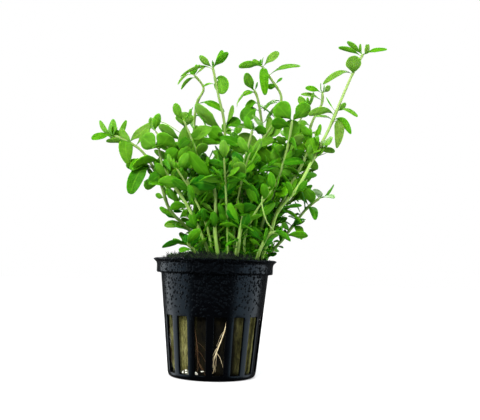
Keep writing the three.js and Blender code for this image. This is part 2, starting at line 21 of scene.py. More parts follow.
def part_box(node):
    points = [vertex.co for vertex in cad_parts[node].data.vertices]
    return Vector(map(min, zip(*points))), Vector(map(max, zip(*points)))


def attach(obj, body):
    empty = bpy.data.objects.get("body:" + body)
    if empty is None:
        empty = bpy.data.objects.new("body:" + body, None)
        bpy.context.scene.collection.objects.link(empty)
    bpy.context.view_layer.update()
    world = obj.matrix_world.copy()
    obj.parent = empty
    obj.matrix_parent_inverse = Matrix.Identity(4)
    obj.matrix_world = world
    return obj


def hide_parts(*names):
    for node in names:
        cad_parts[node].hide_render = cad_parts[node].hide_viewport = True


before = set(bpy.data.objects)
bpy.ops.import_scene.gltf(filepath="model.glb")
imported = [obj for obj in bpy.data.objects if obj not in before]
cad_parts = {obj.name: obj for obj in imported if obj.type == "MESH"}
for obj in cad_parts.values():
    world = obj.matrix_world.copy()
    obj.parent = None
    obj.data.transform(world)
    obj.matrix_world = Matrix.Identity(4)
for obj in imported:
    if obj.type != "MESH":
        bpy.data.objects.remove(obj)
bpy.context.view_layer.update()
MM = 0.001

# %% [markdown]
# Small helpers
#
# Natural things vary, and a script has to give the same plant on every run. So the variation comes from
# two places: a formula that turns two counts into one number, and random generators with fixed seeds.
# A finished piece is a bmesh turned into an object at the origin that rides with the plant.

# %% Numbers that vary
DEGREE = math.pi / 180


def chance(first, second):
    """A number from 0 to 1 that looks random, and is always the same for the same two counts."""
    return ((first * 7919 + second * 104729 + 331) % 1009) / 1009


def mix(low, high, share):
    return low + (high - low) * share


def smoothstep(low, high, value):
    share = min(max((value - low) / (high - low), 0), 1)
    return share * share * (3 - 2 * share)


print("numbers that vary", [round(chance(k, 1), 2) for k in range(5)])


# %% Drawing out a ball, spinning a profile and finishing a piece
def around(radius, turn, height=0.0, centre=(0, 0)):
    """A point given by its distance and heading from an upright line, and its height."""
    return Vector((centre[0] + radius * math.cos(turn), centre[1] + radius * math.sin(turn), height))


@lru_cache
def unit_ball(sides, rows):
    """The corners and faces of a ball. It is made once, and each use copies it, because an operator takes
    longer the larger the bmesh has grown."""
    bm = bmesh.new()
    bmesh.ops.create_uvsphere(bm, u_segments=sides, v_segments=rows, radius=1)
    bm.verts.index_update()
    corners = [vert.co.copy() for vert in bm.verts]
    faces = [[vert.index for vert in face.verts] for face in bm.faces]
    bm.free()
    return corners, faces


def draw_out(bm, sides, rows, shape):
    """A closed ball whose rings are carried to new places: shape gets the row's share of the way from one
    pole to the other and where the corner is on its ring, with nothing there for a pole."""
    corners, faces = unit_ball(sides, rows)
    verts = [bm.verts.new(corner) for corner in corners]
    for vert in verts:
        ring = math.hypot(vert.co.x, vert.co.y)
        step = math.acos(max(-1, min(1, vert.co.z))) / math.pi
        on_ring = (vert.co.x / ring, vert.co.y / ring) if ring > 1e-6 else (0, 0)
        shape(vert, round(step * rows) / rows, *on_ring)
    for face in faces:
        bm.faces.new([verts[index] for index in face])


def spun(points, steps, start=0.0):
    """A profile of radius and height turned once about the upright axis."""
    bm = bmesh.new()
    line = [bm.verts.new(around(radius, start, height)) for radius, height in points]
    edges = [bm.edges.new(pair) for pair in zip(line, line[1:])]
    bmesh.ops.spin(bm, geom=line + edges, axis=(0, 0, 1), cent=(0, 0, 0), angle=math.tau,
                   steps=steps, use_merge=True)
    bmesh.ops.remove_doubles(bm, verts=bm.verts, dist=1e-6)
    bmesh.ops.recalc_face_normals(bm, faces=bm.faces)
    return bm


def finish_piece(name, bm, materials, nodes=()):
    print(name, "faces", len(bm.faces), "volume mm3", round(bm.calc_volume(signed=True) / MM ** 3, 1))
    mesh = bpy.data.meshes.new(name)
    bm.to_mesh(mesh)
    bm.free()
    mesh.shade_smooth()
    for material in materials:
        mesh.materials.append(material)
    piece = bpy.data.objects.new(name, mesh)
    bpy.context.scene.collection.objects.link(piece)
    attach(piece, "root")
    if nodes:
        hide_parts(*nodes)
    return piece


print("corners of a ball with 8 sides and 8 rows", len(unit_ball(8, 8)[0]))

# %% [markdown]
# Node materials with less typing
#
# Every finish here is a Principled shader fed by procedural nodes. A few helpers keep each material
# readable: one adds a node, one links or sets a socket, one makes a colour ramp, and one lays a colour
# over another. Values that are the same all over a surface are set on the shader's own sockets, and only
# what varies is linked.

# %% Colours as a screen shows them
def linear(red, green, blue):
    """A colour given as a screen would show it, from 0 to 255, as the shader wants it."""
    values = [channel / 255 for channel in (red, green, blue)]
    return tuple(v / 12.92 if v <= 0.04045 else ((v + 0.055) / 1.055) ** 2.4 for v in values) + (1,)


WHITE = (1, 1, 1, 1)
BLACK = (0, 0, 0, 1)
print("a middle grey", [round(value, 3) for value in linear(128, 128, 128)])


# %% Node helpers
class Finish:
    def __init__(self, name):
        self.material = bpy.data.materials.new(name)
        self.material.use_nodes = True
        self.tree = self.material.node_tree
        self.shader = self.tree.nodes["Principled BSDF"]

    def add(self, kind, **inputs):
        node = self.tree.nodes.new(kind)
        for key, value in inputs.items():
            self.feed(node, key, value)
        return node

    def put(self, socket, value):
        """Link the value if it is a node's output, or else set it."""
        if isinstance(value, bpy.types.NodeSocket):
            self.tree.links.new(value, socket)
        else:
            socket.default_value = value

    def feed(self, node, key, value):
        name = key.replace("_", " ").lower()
        self.put(next(s for s in node.inputs if s.name.lower() == name and s.enabled), value)

    def ramp(self, factor, *stops):
        node = self.add("ShaderNodeValToRGB")
        self.put(node.inputs["Fac"], factor)
        for i, (place, colour) in enumerate(stops):
            element = node.color_ramp.elements[i] if i < 2 else node.color_ramp.elements.new(place)
            element.position = place
            element.color = colour
        return node.outputs["Color"]

    def between(self, factor, first, second, blend="MIX"):
        node = self.add("ShaderNodeMix")
        node.data_type = "RGBA"
        node.blend_type = blend
        for key, value in (("Factor", factor), ("A", first), ("B", second)):
            self.feed(node, key, value)
        return next(s for s in node.outputs if s.enabled)

    def product(self, first, second):
        return self.between(1.0, first, second, "MULTIPLY")

    def partly(self, mask, most, below, above):
        """One colour laid over another where the mask is white, and at most that strongly."""
        return self.between(self.maths("MULTIPLY", mask, most), below, above)

    def maths(self, operation, first, second=0.0, third=None):
        node = self.add("ShaderNodeMath")
        node.operation = operation
        for i, value in enumerate((first, second, third)):
            if value is not None:
                self.put(node.inputs[i], value)
        return node.outputs[0]

    def place(self, scale=(1, 1, 1)):
        coordinates = self.add("ShaderNodeTexCoord")
        mapping = self.add("ShaderNodeMapping", Vector=coordinates.outputs["Object"], Scale=scale)
        return mapping.outputs[0]

    def along_axis(self, axis):
        return self.add("ShaderNodeSeparateXYZ", Vector=self.place()).outputs[axis]

    def noise(self, scale, detail=3.0, roughness=0.5, stretch=(1, 1, 1)):
        node = self.add("ShaderNodeTexNoise", Vector=self.place(stretch), Scale=scale, Detail=detail,
                        Roughness=roughness)
        return node.outputs["Fac"]

    def blade(self):
        """What the corners of leaves, stems and moss store: across, along, upper side and tint."""
        node = self.add("ShaderNodeAttribute")
        node.attribute_name = "blade"
        split = self.add("ShaderNodeSeparateColor", Color=node.outputs["Color"])
        return split.outputs["Red"], split.outputs["Green"], split.outputs["Blue"], node.outputs["Alpha"]

    def beads(self, scale, share, cover):
        """Small domes, one in each cell of a scattered pattern, on a share of the cells."""
        cells = self.add("ShaderNodeTexVoronoi", Vector=self.place(), Scale=scale, Randomness=1.0)
        luck = self.add("ShaderNodeSeparateColor", Color=cells.outputs["Color"]).outputs["Red"]
        kept = self.maths("LESS_THAN", luck, self.maths("MULTIPLY", cover, share))
        dome = self.ramp(cells.outputs["Distance"], (0.26, WHITE), (0.4, BLACK))
        return self.maths("MULTIPLY", dome, kept)

    def bump(self, height, strength, distance):
        node = self.add("ShaderNodeBump", Height=height, Strength=strength, Distance=distance)
        self.feed(self.shader, "Normal", node.outputs["Normal"])

    def set(self, **inputs):
        for key, value in inputs.items():
            self.feed(self.shader, key, value)


print("helpers", [name for name in dir(Finish) if name[0] != "_"])

# %% [markdown]
# The pot's plastic
#
# The pot is black polypropylene. Straight from the mould it is satin, and here it has a fine beaded
# bloom on its band and upper wall that breaks the reflections into grains. A plain black would look like
# a hole. So roughness varies slowly, two sizes of dull beads stand on the upper part, and the lower ribs
# stay smooth with faint upright draw marks. How strongly it reflects is the same everywhere, so that is
# set on the shader's own sockets.

# %% Black plastic
BEADS_START = 24 * MM
BEADS_FULL = 42 * MM


def black_plastic():
    finish = Finish("black_plastic")
    cover = finish.add("ShaderNodeMapRange", Value=finish.along_axis("Z"), From_Min=BEADS_START,
                       From_Max=BEADS_FULL).outputs["Result"]
    fine = finish.beads(scale=1050.0, share=0.8, cover=cover)
    coarse = finish.beads(scale=620.0, share=1.0, cover=cover)
    beaded = finish.maths("MAXIMUM", fine, coarse)
    draw = finish.noise(240.0, detail=2.0, stretch=(3, 3, 0.12))
    finish.bump(finish.maths("MULTIPLY_ADD", draw, 0.04, beaded), strength=0.9, distance=0.0005)
    finish.set(Base_Color=finish.between(finish.noise(60.0), linear(1, 1, 1), linear(2, 2, 3)))
    satin = finish.maths("MULTIPLY_ADD", finish.noise(90.0), 0.14, 0.2)
    finish.set(Roughness=finish.maths("MULTIPLY_ADD", beaded, 0.6, satin))
    finish.set(Specular_IOR_Level=0.052, Specular_Tint=(0.5, 0.76, 1, 1))
    return finish.material


plastic = black_plastic()
print("material", plastic.name)

# %% [markdown]
# The net pot
#
# A moulded pot has one wall thickness everywhere. That makes it a sheet: a profile spun about the axis,
# with faces deleted where the slots are, then given its thickness at the end. Cutting slots with booleans
# would leave ragged faces, while a sheet of even quads keeps every slot edge clean for a small bevel.
# One turn is 128 steps, eight for each of the 16 slots: five of them open and three of them rib.

# %% The pot's sizes
WALL = 1.0 * MM
POT_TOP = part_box("net_pot")[1].z
LIP_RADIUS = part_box("net_pot")[1].x
BAND_LOW = 45.2 * MM
WALL_TOP = BAND_LOW - 0.7 * MM
UNDER_BAND = 23.9 * MM
BASE_RADIUS = 19.3 * MM
SLOTS = 16
STEPS_PER_SLOT = 8
OPEN_STEPS = 5
SLOT_LOW = 2.4 * MM
SLOT_HIGH = 26.9 * MM
FIRST_SLOT = -80.5 * DEGREE
SLOT_ROWS = 12
PLAIN_ROWS = 7
FLOOR_SLOTS = 8
FLOOR_SLOT_START = 7 * MM
FLOOR_SLOT_END = 15 * MM
FLOOR_RADII = (0, 3.5, 7, 9, 11, 13, 15, 16.6, 17.5)
FLOOR_CORNER = ((18.35, 0.18), (18.95, 0.62), (19.3, 1.35))
BAND = ((24.0, 44.9), (25.3, 45.05), (25.75, 45.25), (25.9, 45.7), (25.9, 47.4), (25.93, 48.7))
LIP = ((26.15, 49.5), (26.75, 50.15), (27.3, 50.6))


def wall_radius(height):
    return mix(BASE_RADIUS, UNDER_BAND, height / BAND_LOW)


def pot_profile():
    floor = [(radius * MM, 0) for radius in FLOOR_RADII]
    corner = [(radius * MM, height * MM) for radius, height in FLOOR_CORNER]
    slot_rows = [mix(SLOT_LOW, SLOT_HIGH, k / SLOT_ROWS) for k in range(SLOT_ROWS + 1)]
    plain_rows = [mix(SLOT_HIGH, WALL_TOP, k / PLAIN_ROWS) for k in range(1, PLAIN_ROWS + 1)]
    wall = [(wall_radius(height), height) for height in slot_rows + plain_rows]
    top = [(radius * MM, height * MM) for radius, height in BAND + LIP]
    return floor + corner + wall + top + [(LIP_RADIUS, POT_TOP)]


profile = pot_profile()
print("pot profile points", len(profile), "slots", SLOTS)

# %% Spin the pot, open its slots and give it thickness
def in_opening(face, start):
    """Whether a face lies in one of the upright slots or in one of the floor's drain slots."""
    middle = face.calc_center_median()
    heading = math.atan2(middle.y, middle.x)
    if middle.z > 1e-6:
        turn = (heading - start) / math.tau * SLOTS % 1
        return turn < OPEN_STEPS / STEPS_PER_SLOT and SLOT_LOW < middle.z < SLOT_HIGH
    turn = (heading - FIRST_SLOT) / math.tau * FLOOR_SLOTS
    off_centre = abs(turn - round(turn)) * 2 * STEPS_PER_SLOT
    in_ring = FLOOR_SLOT_START < math.hypot(middle.x, middle.y) < FLOOR_SLOT_END
    return in_ring and off_centre < OPEN_STEPS / 2


def make_pot():
    start = FIRST_SLOT - OPEN_STEPS / 2 * (math.tau / (SLOTS * STEPS_PER_SLOT))
    bm = spun(profile, SLOTS * STEPS_PER_SLOT, start)
    opened = [face for face in bm.faces if in_opening(face, start)]
    bmesh.ops.delete(bm, geom=opened, context="FACES")
    top = max(bm.faces, key=lambda face: face.calc_center_median().z)
    if top.normal.dot(top.calc_center_median() - Vector((0, 0, POT_TOP))) < 0:
        bmesh.ops.reverse_faces(bm, faces=bm.faces)
    piece = finish_piece("net_pot_finished", bm, [plastic], ["net_pot"])
    wall = piece.modifiers.new("wall", "SOLIDIFY")
    wall.thickness = WALL
    wall.offset = -1
    edge = piece.modifiers.new("soft_edges", "BEVEL")
    edge.width = 0.16 * MM
    edge.segments = 2
    edge.limit_method = "ANGLE"
    edge.angle_limit = 50 * DEGREE
    return piece


pot = make_pot()
print("pot faces", len(pot.data.polygons))

# %% [markdown]
# Stone wool
#
# The plug is compressed mineral fibre. It is coloured olive at the sides, where light reaches it through the
# slots, and painted shade makes it dark brown in the middle and at the back. A noise texture alone would
# read as stone. Real strands catch the light, so the plug is a slightly uneven body with several hundred
# thin bent strands lying on it, and they share one material.

# %% Stone wool material
# Where the painted shade in the plug's middle lies across it: its middle, and where it starts and stops
# fading.
DARK_MIDDLE = 1.5 * MM
DARK_HALF = 7.5 * MM
DARK_END = 14.5 * MM


def stone_wool():
    finish = Finish("stone_wool")
    patches = finish.noise(240.0, detail=4.0, roughness=0.65, stretch=(1, 1, 0.5))
    threads = finish.noise(1000.0, detail=4.0, roughness=0.7, stretch=(1, 1, 0.3))
    damp, plain, lit = linear(75, 73, 33), linear(101, 99, 53), linear(138, 136, 87)
    unshaded_wool = finish.ramp(patches, (0.3, damp), (0.5, plain), (0.7, lit))
    # Painted shade: a dark brown over the middle of the plug, front and back, that fades out towards the
    # sides.
    painted_shade_brown = finish.ramp(patches, (0.4, linear(6, 5, 1)), (0.7, linear(19, 16, 3)))
    from_dark = finish.maths("ABSOLUTE", finish.maths("ADD", finish.along_axis("X"), -DARK_MIDDLE))
    painted_shade_middle = finish.add("ShaderNodeMapRange", Value=from_dark, From_Min=DARK_HALF, From_Max=DARK_END,
                     To_Min=1.0, To_Max=0.0)
    base = finish.between(painted_shade_middle.outputs["Result"], unshaded_wool, painted_shade_brown)
    between_threads = finish.ramp(threads, (0.36, (0.22, 0.2, 0.17, 1)), (0.6, WHITE))
    threaded = finish.product(base, between_threads)
    # Painted shade: the wool is darkened towards the back of the plug.
    towards_back = finish.maths("MULTIPLY_ADD", finish.along_axis("Y"), 40.0, 0.5)
    behind = finish.ramp(towards_back, (0.3, WHITE), (0.9, (0.4, 0.36, 0.3, 1)))
    finish.set(Base_Color=finish.product(threaded, behind), Roughness=0.95, Specular_IOR_Level=0.08)
    finish.bump(threads, strength=0.9, distance=0.0006)
    return finish.material


wool = stone_wool()
print("material", wool.name)

# %% A strand that lies on the plug
PLUG_LOW, PLUG_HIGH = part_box("stone_wool_plug")
PLUG_TOP = PLUG_HIGH.z
PLUG_GAP = 1.4 * MM
STRAND_STEPS = 4


def plug_radius(height):
    return wall_radius(height) - WALL - PLUG_GAP


def strand(bm, points, radius, sides=3, taper=1.0):
    """A thin bent thread that lies on the plug: each point gets a ring, and the two ends are poles."""
    last = len(points) - 1

    def shape(vert, step, x, y):
        k = round(step * last)
        way = (points[min(k + 1, last)] - points[max(k - 1, 0)]).normalized()
        side = way.cross(Vector((points[k].x, points[k].y, 0))).normalized()
        front = side.cross(way)
        vert.co = points[k] + (side * x + front * y) * radius * mix(1, taper, step)

    draw_out(bm, sides, last, shape)


def strand_points(rng):
    """A few points up the plug's side, from the lowest to the highest."""
    heading = rng.uniform(0, math.tau)
    height = rng.uniform(2.5, 46) * MM
    lean = rng.uniform(-0.16, 0.16)
    points = []
    for k in range(STRAND_STEPS + 1):
        share = k / STRAND_STEPS
        z = height + share * rng.uniform(1.5, 6.5) * MM * (1 if rng.random() < 0.85 else 0.3)
        z = min(z, PLUG_TOP - 1 * MM)
        radius = plug_radius(z) + rng.uniform(-0.1, 0.12) * MM
        angle = heading + lean * share + rng.uniform(-0.012, 0.012)
        points.append(around(radius, angle, z))
    return sorted(points, key=lambda point: point.z)


print("the plug's radius half way up", round(plug_radius(PLUG_TOP / 2) / MM, 1), "mm")

# %% The plug
PLUG_STEPS = 96
PLUG_ROWS = range(4, 50, 2)
PLUG_UNEVEN = 0.018
WOOL_STRANDS = 620


def make_plug():
    rng = random.Random(5)
    rows = [(0, PLUG_LOW.z), (9 * MM, PLUG_LOW.z), (plug_radius(PLUG_LOW.z) - 1.6 * MM, PLUG_LOW.z)]
    rows += [(plug_radius(2 * MM) - 0.45 * MM, 2 * MM)]
    rows += [(plug_radius(height * MM), height * MM) for height in PLUG_ROWS]
    rows += [(plug_radius(PLUG_TOP) - 0.8 * MM, PLUG_TOP), (15 * MM, PLUG_TOP + 0.8 * MM)]
    rows += [(8 * MM, PLUG_TOP + 1.2 * MM), (0, PLUG_TOP + 1.3 * MM)]
    bm = spun(rows, PLUG_STEPS)
    for vert in bm.verts:
        vert.co.x *= 1 - PLUG_UNEVEN * rng.random()
        vert.co.y *= 1 - PLUG_UNEVEN * rng.random()
    for _ in range(WOOL_STRANDS):
        points = strand_points(rng)
        if min((b - a).length for a, b in zip(points, points[1:])) > 0.05 * MM:
            strand(bm, points, rng.uniform(0.05, 0.11) * MM)
    return finish_piece("stone_wool_plug_finished", bm, [wool], ["stone_wool_plug"])


plug = make_plug()
print("plug faces", len(plug.data.polygons))

# %% [markdown]
# Lines that the plant grows along
#
# A stem is a smooth line through a few given points. The walk along it has even speed, so a leaf can be
# placed at any share of the stem's length. These few functions do for the whole plant.

# %% A line through points, walked at even speed
ROUTE_STEPS = 24


class Route:
    def __init__(self, points):
        spots = []
        last = len(points) - 1
        for i in range(last):
            a, b, c, d = points[max(i - 1, 0)], points[i], points[i + 1], points[min(i + 2, last)]
            for k in range(ROUTE_STEPS + 1 if i == last - 1 else ROUTE_STEPS):
                t = k / ROUTE_STEPS
                spots.append(Vector([0.5 * (2 * b[n] + (c[n] - a[n]) * t
                                            + (2 * a[n] - 5 * b[n] + 4 * c[n] - d[n]) * t * t
                                            + (3 * b[n] - a[n] - 3 * c[n] + d[n]) * t * t * t)
                                     for n in range(3)]))
        self.spots = spots
        self.walked = [0.0]
        for before, after in zip(spots, spots[1:]):
            self.walked.append(self.walked[-1] + (after - before).length)
        self.length = self.walked[-1]

    def spot(self, share):
        goal = min(max(share, 0), 1) * self.length
        i = min(max(bisect_left(self.walked, goal, 1), 1), len(self.walked) - 1)
        part = (goal - self.walked[i - 1]) / (self.walked[i] - self.walked[i - 1])
        return self.spots[i - 1].lerp(self.spots[i], part)

    def way(self, share):
        return (self.spot(share + 0.01) - self.spot(share - 0.01)).normalized()


print("a line of 10 mm has length", round(Route([(0, 0, 0), (0, 0, 5), (0, 0, 10)]).length, 3))

# %% [markdown]
# The shoots
#
# The tall shoots that make the outline are each given one by one: the stem's points in millimetres, then
# leaves as how far up the stem they grow, heading, rise, length and width. Where two shoots would touch,
# a real leaf turns aside, and the solids do the same from a short list of tries. The tip of every leaf is
# a corner of its solid, so looking for that corner tells which try was taken.

# %% The shoots that show in the outline
STEM_FOOT = 50.3
SHOOTS = {}


def shoot(name, route, leaves, pairs=None):
    points = [tuple(p) if len(p) == 3 else (p[0], p[1], STEM_FOOT) for p in route]
    SHOOTS[name] = {"route": Route(points), "leaves": [list(leaf) for leaf in leaves], "pairs": pairs}


shoot("shoot_tall_right",
      [[20, -4], [24, -9, 63], [27, -12, 73], [35, -14, 83], [41, -14, 95], [48, -13, 109], [54, -11, 124],
       [59, -9, 136], [64, -7, 146]],
      [[0.99, 180, 40, 9, 2.4], [0.98, -180, 20, 11, 2], [1, -10, 10, 10.5, 2.2], [0.99, 5, 65, 5.5, 2.6],
       [0.89, -100, 60, 8, 5.6], [0.89, 155, -15, 14, 3.2], [0.71, 5, 45, 5.5, 2.4],
       [0.71, -35, -20, 10.5, 2], [0.67, -10, -40, 10, 2.8], [0.66, -30, -80, 12, 4],
       [0.69, -160, -5, 12.5, 2.8], [0.52, -10, 0, 7.5, 2.6], [0.67, 145, 15, 9.5, 1.8],
       [0.55, 25, 15, 4.5, 2]],
      [0.12, 0.36, 20])
shoot("shoot_right",
      [[18, 6], [22, 9, 66], [29, 11, 82], [38, 10, 101], [43, 8, 117], [47, 6, 125], [47, 5, 131]],
      [[0.99, -180, 15, 8, 2.6], [0.99, 10, 45, 5, 2.4], [0.97, -5, 5, 8, 1.8], [0.96, 0, -40, 8, 2.6],
       [0.95, 150, 10, 10.5, 2.4], [0.8, -175, 5, 6.5, 3.2]],
      [0.2, 0.74, 70])
shoot("shoot_tall_centre",
      [[12, 6], [12, 8, 70], [13, 9, 88], [18, 8, 104], [25, 6, 116], [28, 4, 127], [23, 2, 135],
       [18, 0, 141]],
      [[0.99, -5, 45, 10, 3.4], [1, 180, 40, 5, 2.6], [0.99, 180, -15, 11, 2.8], [0.94, 5, 20, 15.5, 3],
       [0.97, -80, -80, 12.5, 3.4], [0.87, 175, -10, 4.5, 2.2], [0.89, 0, 45, 4.5, 1.6],
       [0.59, -15, 75, 12, 3.4], [0.61, 5, 35, 9.5, 4]],
      [0.25, 0.6, 45])
shoot("shoot_centre_back",
      [[15, 10], [18, 14, 70], [20, 16, 89], [21, 14, 106], [19, 11, 119], [17, 9, 128], [15, 8, 132]],
      [[1, -130, 50, 9, 3.8], [0.98, 155, -30, 10.5, 1.8], [0.97, -175, -25, 6.5, 2.6],
       [0.91, 165, -15, 6.5, 3.4], [0.87, -175, -35, 9.5, 6], [0.65, 180, 25, 14, 6],
       [0.75, 180, 10, 13.5, 4]],
      [0.25, 0.7, 0])
shoot("shoot_right_inner",
      [[16, -3], [20, -8, 66], [25, -12, 82], [30, -14, 99], [32, -15, 113]],
      [[0.99, 90, -70, 9.5, 6], [0.99, -155, 40, 10, 6.8], [1, -20, 45, 10, 6],
       [0.94, 180, 10, 8.5, 5], [0.82, -5, 35, 8, 4.4], [0.79, -160, -35, 8.5, 4.6]],
      [0.25, 0.76, 30])
shoot("shoot_tall_left",
      [[9, 3], [8, 3, 69], [5, 1, 85], [3, 0, 101], [2, 0, 114], [-1, -2, 126], [-4, -4, 139]],
      [[1, 25, 65, 9.5, 2.4], [0.99, -25, 40, 9.5, 3.2], [0.99, 180, 40, 8, 3], [0.98, -180, -15, 15, 1.3],
       [0.93, 5, -65, 7.5, 5.6], [0.9, -160, -15, 6.5, 1.4], [0.61, -180, 40, 9.5, 6],
       [0.58, -145, 0, 14, 5.4], [0.68, 30, 35, 9, 4.6]],
      [0.2, 0.48, 60])
shoot("shoot_thin_left",
      [[1, 8], [-3, 10, 70], [-9, 9, 93], [-12, 7, 111], [-11, 4, 123], [-8, 2, 130], [-13, 0, 136]],
      [[1, 75, 45, 10, 1.5], [0.99, -55, 25, 10, 1.5], [1, -125, -25, 10, 1.5], [0.97, 145, -25, 10, 1.4],
       [0.84, 130, 40, 12, 2], [0.82, 0, -15, 13, 3.4], [0.75, -70, -40, 12, 2], [0.69, -60, -30, 12, 2.4]],
      [0.25, 0.6, 15])
shoot("shoot_left_inner",
      [[-1, 4], [-4, 0, 69], [-10, -6, 85], [-14, -10, 95], [-15, -12, 105], [-14, -13, 113]],
      [[0.93, -95, 60, 7, 6.6], [0.72, -90, 55, 15.5, 5], [0.73, -45, 55, 14.5, 5.8],
       [0.78, 180, 5, 12.5, 5.4], [0.73, -165, -20, 13.5, 6.8], [0.7, -140, -60, 9, 6],
       [0.6, 0, -45, 8.5, 5]],
      [0.2, 0.55, 80])
shoot("shoot_arching_left",
      [[-3, 0], [-11, -6, 63], [-20, -12, 72], [-25, -15, 85], [-33, -17, 97], [-45, -18, 103]],
      [[0.9, 15, 35, 15, 3.4], [1, 175, 45, 9.5, 2], [0.97, 175, 65, 8.5, 4.4], [0.97, 45, 65, 9, 2],
       [1, -155, -15, 10, 3.2], [0.93, 175, 15, 9.5, 2.6], [0.9, 180, 0, 9.5, 2.6],
       [0.9, -80, -80, 10, 5], [0.88, 40, 45, 7.5, 4], [0.69, 175, 0, 11.5, 5],
       [0.68, -150, -50, 15.5, 5.2], [0.41, -180, -30, 6, 3.2], [0.49, 170, 20, 4.5, 2.2]],
      [0.16, 0.3, 50])
shoot("shoot_left",
      [[-1, -6], [-7, -14, 64], [-13, -19, 75], [-19, -21, 83], [-23, -21, 90], [-25, -20, 98]],
      [[0.99, 175, 35, 9, 6.6], [0.99, -25, 35, 8, 7], [0.87, 10, 45, 9, 5.2], [0.77, 150, -20, 9.5, 4.2],
       [0.7, -25, 30, 8, 4.6], [0.5, 175, -15, 7, 3.8], [0.5, 10, 25, 6.5, 3.6], [0.3, 170, 20, 6, 4]])
shoot("shoot_front_left",
      [[2, -10], [0, -15, 63], [0, -19, 74], [-1, -21, 84]],
      [[1, -140, 40, 18, 4.2], [1, 20, 60, 11, 2.6], [0.85, -170, 20, 11.5, 6.4], [0.82, 25, 50, 7.5, 3.6],
       [0.51, -175, -30, 7, 3.4], [0.51, -10, -20, 6.5, 3.2]])
shoot("shoot_front_centre",
      [[9, -12], [10, -17, 57], [11, -20, 65], [12, -21, 71]],
      [[1, -70, 15, 12, 4.5], [0.75, -170, 50, 11, 2.6], [1, -105, 15, 12, 3.2], [0.68, -65, -5, 12, 3.2],
       [0.43, -115, -10, 12, 3.2], [1, 80, 50, 9, 3]])
shoot("shoot_low_right",
      [[20.5, 3.5], [29, 4, 60], [35, 5, 68], [41, 4, 76], [47, 2, 81]],
      [[0.98, -65, -5, 12, 3], [0.86, -110, 30, 12, 4], [0.96, 95, 30, 12, 3.2], [0.98, 35, 40, 11, 2.4],
       [0.8, -75, -30, 12, 3], [0.53, -75, 15, 12, 3.6], [0.53, -70, -30, 12, 3], [0.6, 80, 10, 11, 3.2],
       [0.36, 60, 20, 10, 3]])
shoot("shoot_runner_right",
      [[18, -9.5], [20, -16, 57], [24, -20, 63], [30, -22, 62]],
      [[0.98, -45, 0, 12, 3.6], [0.89, 60, 25, 12, 3.2], [0.72, -80, -30, 12, 3.2], [0.5, 170, 30, 10, 3]])
shoot("shoot_right_middle",
      [[20, 0], [24, -4, 66], [31, -8, 82], [38, -10, 96], [42, -11, 106]],
      [[0.99, -95, -80, 8, 7], [0.99, -180, 40, 9, 3.4], [0.99, -5, 60, 7, 3], [0.87, 175, -25, 6.5, 4.2],
       [0.4, -10, -25, 12, 4], [0.8, 35, -15, 8.5, 3.6]],
      [0.25, 0.74, 65])
shoot("shoot_centre",
      [[12, -3], [11, -6, 67], [11, -8, 82], [12, -10, 95], [15, -11, 109]],
      [[1, -175, 65, 7, 3.4], [0.99, 5, -10, 6, 4], [0.54, -10, 80, 11.5, 3.6], [0.8, 180, 25, 7, 3.6],
       [0.79, -10, -25, 6.5, 3.8], [0.5, 175, -20, 6.5, 3.4], [0.3, -145, 30, 7.5, 2.8],
       [0.3, 15, -20, 6.5, 2.8]])
shoot("shoot_low_left",
      [[-5, -10], [-8, -13, 54], [-12, -15, 58]],
      [[0.98, -150, -10, 12, 3], [0.9, -60, 30, 12, 3.2], [0.56, -115, -5, 12, 3.2],
       [0.95, 110, 30, 10, 3]])
print("shoots given by hand", len(SHOOTS))

# %% [markdown]
# Pairs of leaves, and young shoots
#
# Leaves of this plant grow in opposite pairs, each pair a quarter turn from the one below. One formula
# sets such pairs between the listed leaves. Short young shoots fill the clump. They
# stand in a spiral like the seeds of a sunflower, which spreads any number of them evenly, and the outer
# ones lean out further.

# %% Leaves in opposite pairs
PAIR_SPACING = 24
PAIR_LENGTH = 11.5
PAIR_WIDTH = 4.1
PAIR_RISE_HIGH = 42
FOOT_RADIUS = 0.84
FRONT_FOOT_RADIUS = 1.1
TIP_RADIUS = 0.6


def opposite(low, high, count):
    """Each pair's number, the two sides that its leaves grow to, and how far up the stem it is."""
    return [(k, half, mix(low, high, (k + 0.5) / count)) for k in range(count) for half in (0, 180)]


def leaf_pairs(route, low, high, phase, spacing, seed):
    leaves = []
    count = max(1, math.floor((high - low) * route.length / spacing + 0.5))
    for k, half, at in opposite(low, high, count):
        luck = chance(seed, k * 2 + half)
        rise = mix(0, PAIR_RISE_HIGH, (at + luck / 2) / 1.5)
        leaves.append([at, phase + k * 90 + half, rise, PAIR_LENGTH * mix(0.85, 1.1, luck),
                       PAIR_WIDTH * mix(0.85, 1.15, luck)])
    return leaves


for count, (name, made) in enumerate(SHOOTS.items()):
    made["foot"], made["tip"] = FRONT_FOOT_RADIUS if "front" in name else FOOT_RADIUS, TIP_RADIUS
    if made["pairs"]:
        low, high, phase = made["pairs"]
        made["leaves"] += leaf_pairs(made["route"], low, high, phase, PAIR_SPACING, count)
print("leaves on the shoots given by hand", sum(len(made["leaves"]) for made in SHOOTS.values()))

# %% Young shoots between the others
YOUNG_COUNT = 18
YOUNG_CENTRE = (7, 1)
YOUNG_SPREAD = 12.5
YOUNG_TALL = 62
YOUNG_SHORT = 34
INNER_LEAN = 0.25
OUTER_LEAN = 0.68
YOUNG_BEND = 1.4
YOUNG_STOPS = (0, 0.35, 0.7, 1)
YOUNG_SWAY = 8
YOUNG_SPACING = 18
GOLDEN_TURN = 137.508
FIRST_YOUNG_HEADING = 40
STEM_TRIES = (0, 14, -14, 28, -28, 42, -42, 60, -60)
STEM_FOOT_CORNER = Vector((0, 1, 0))
SAME_CORNER = 0.03
YOUNG_FOOT_RADIUS = 0.6
YOUNG_TIP_RADIUS = 0.4


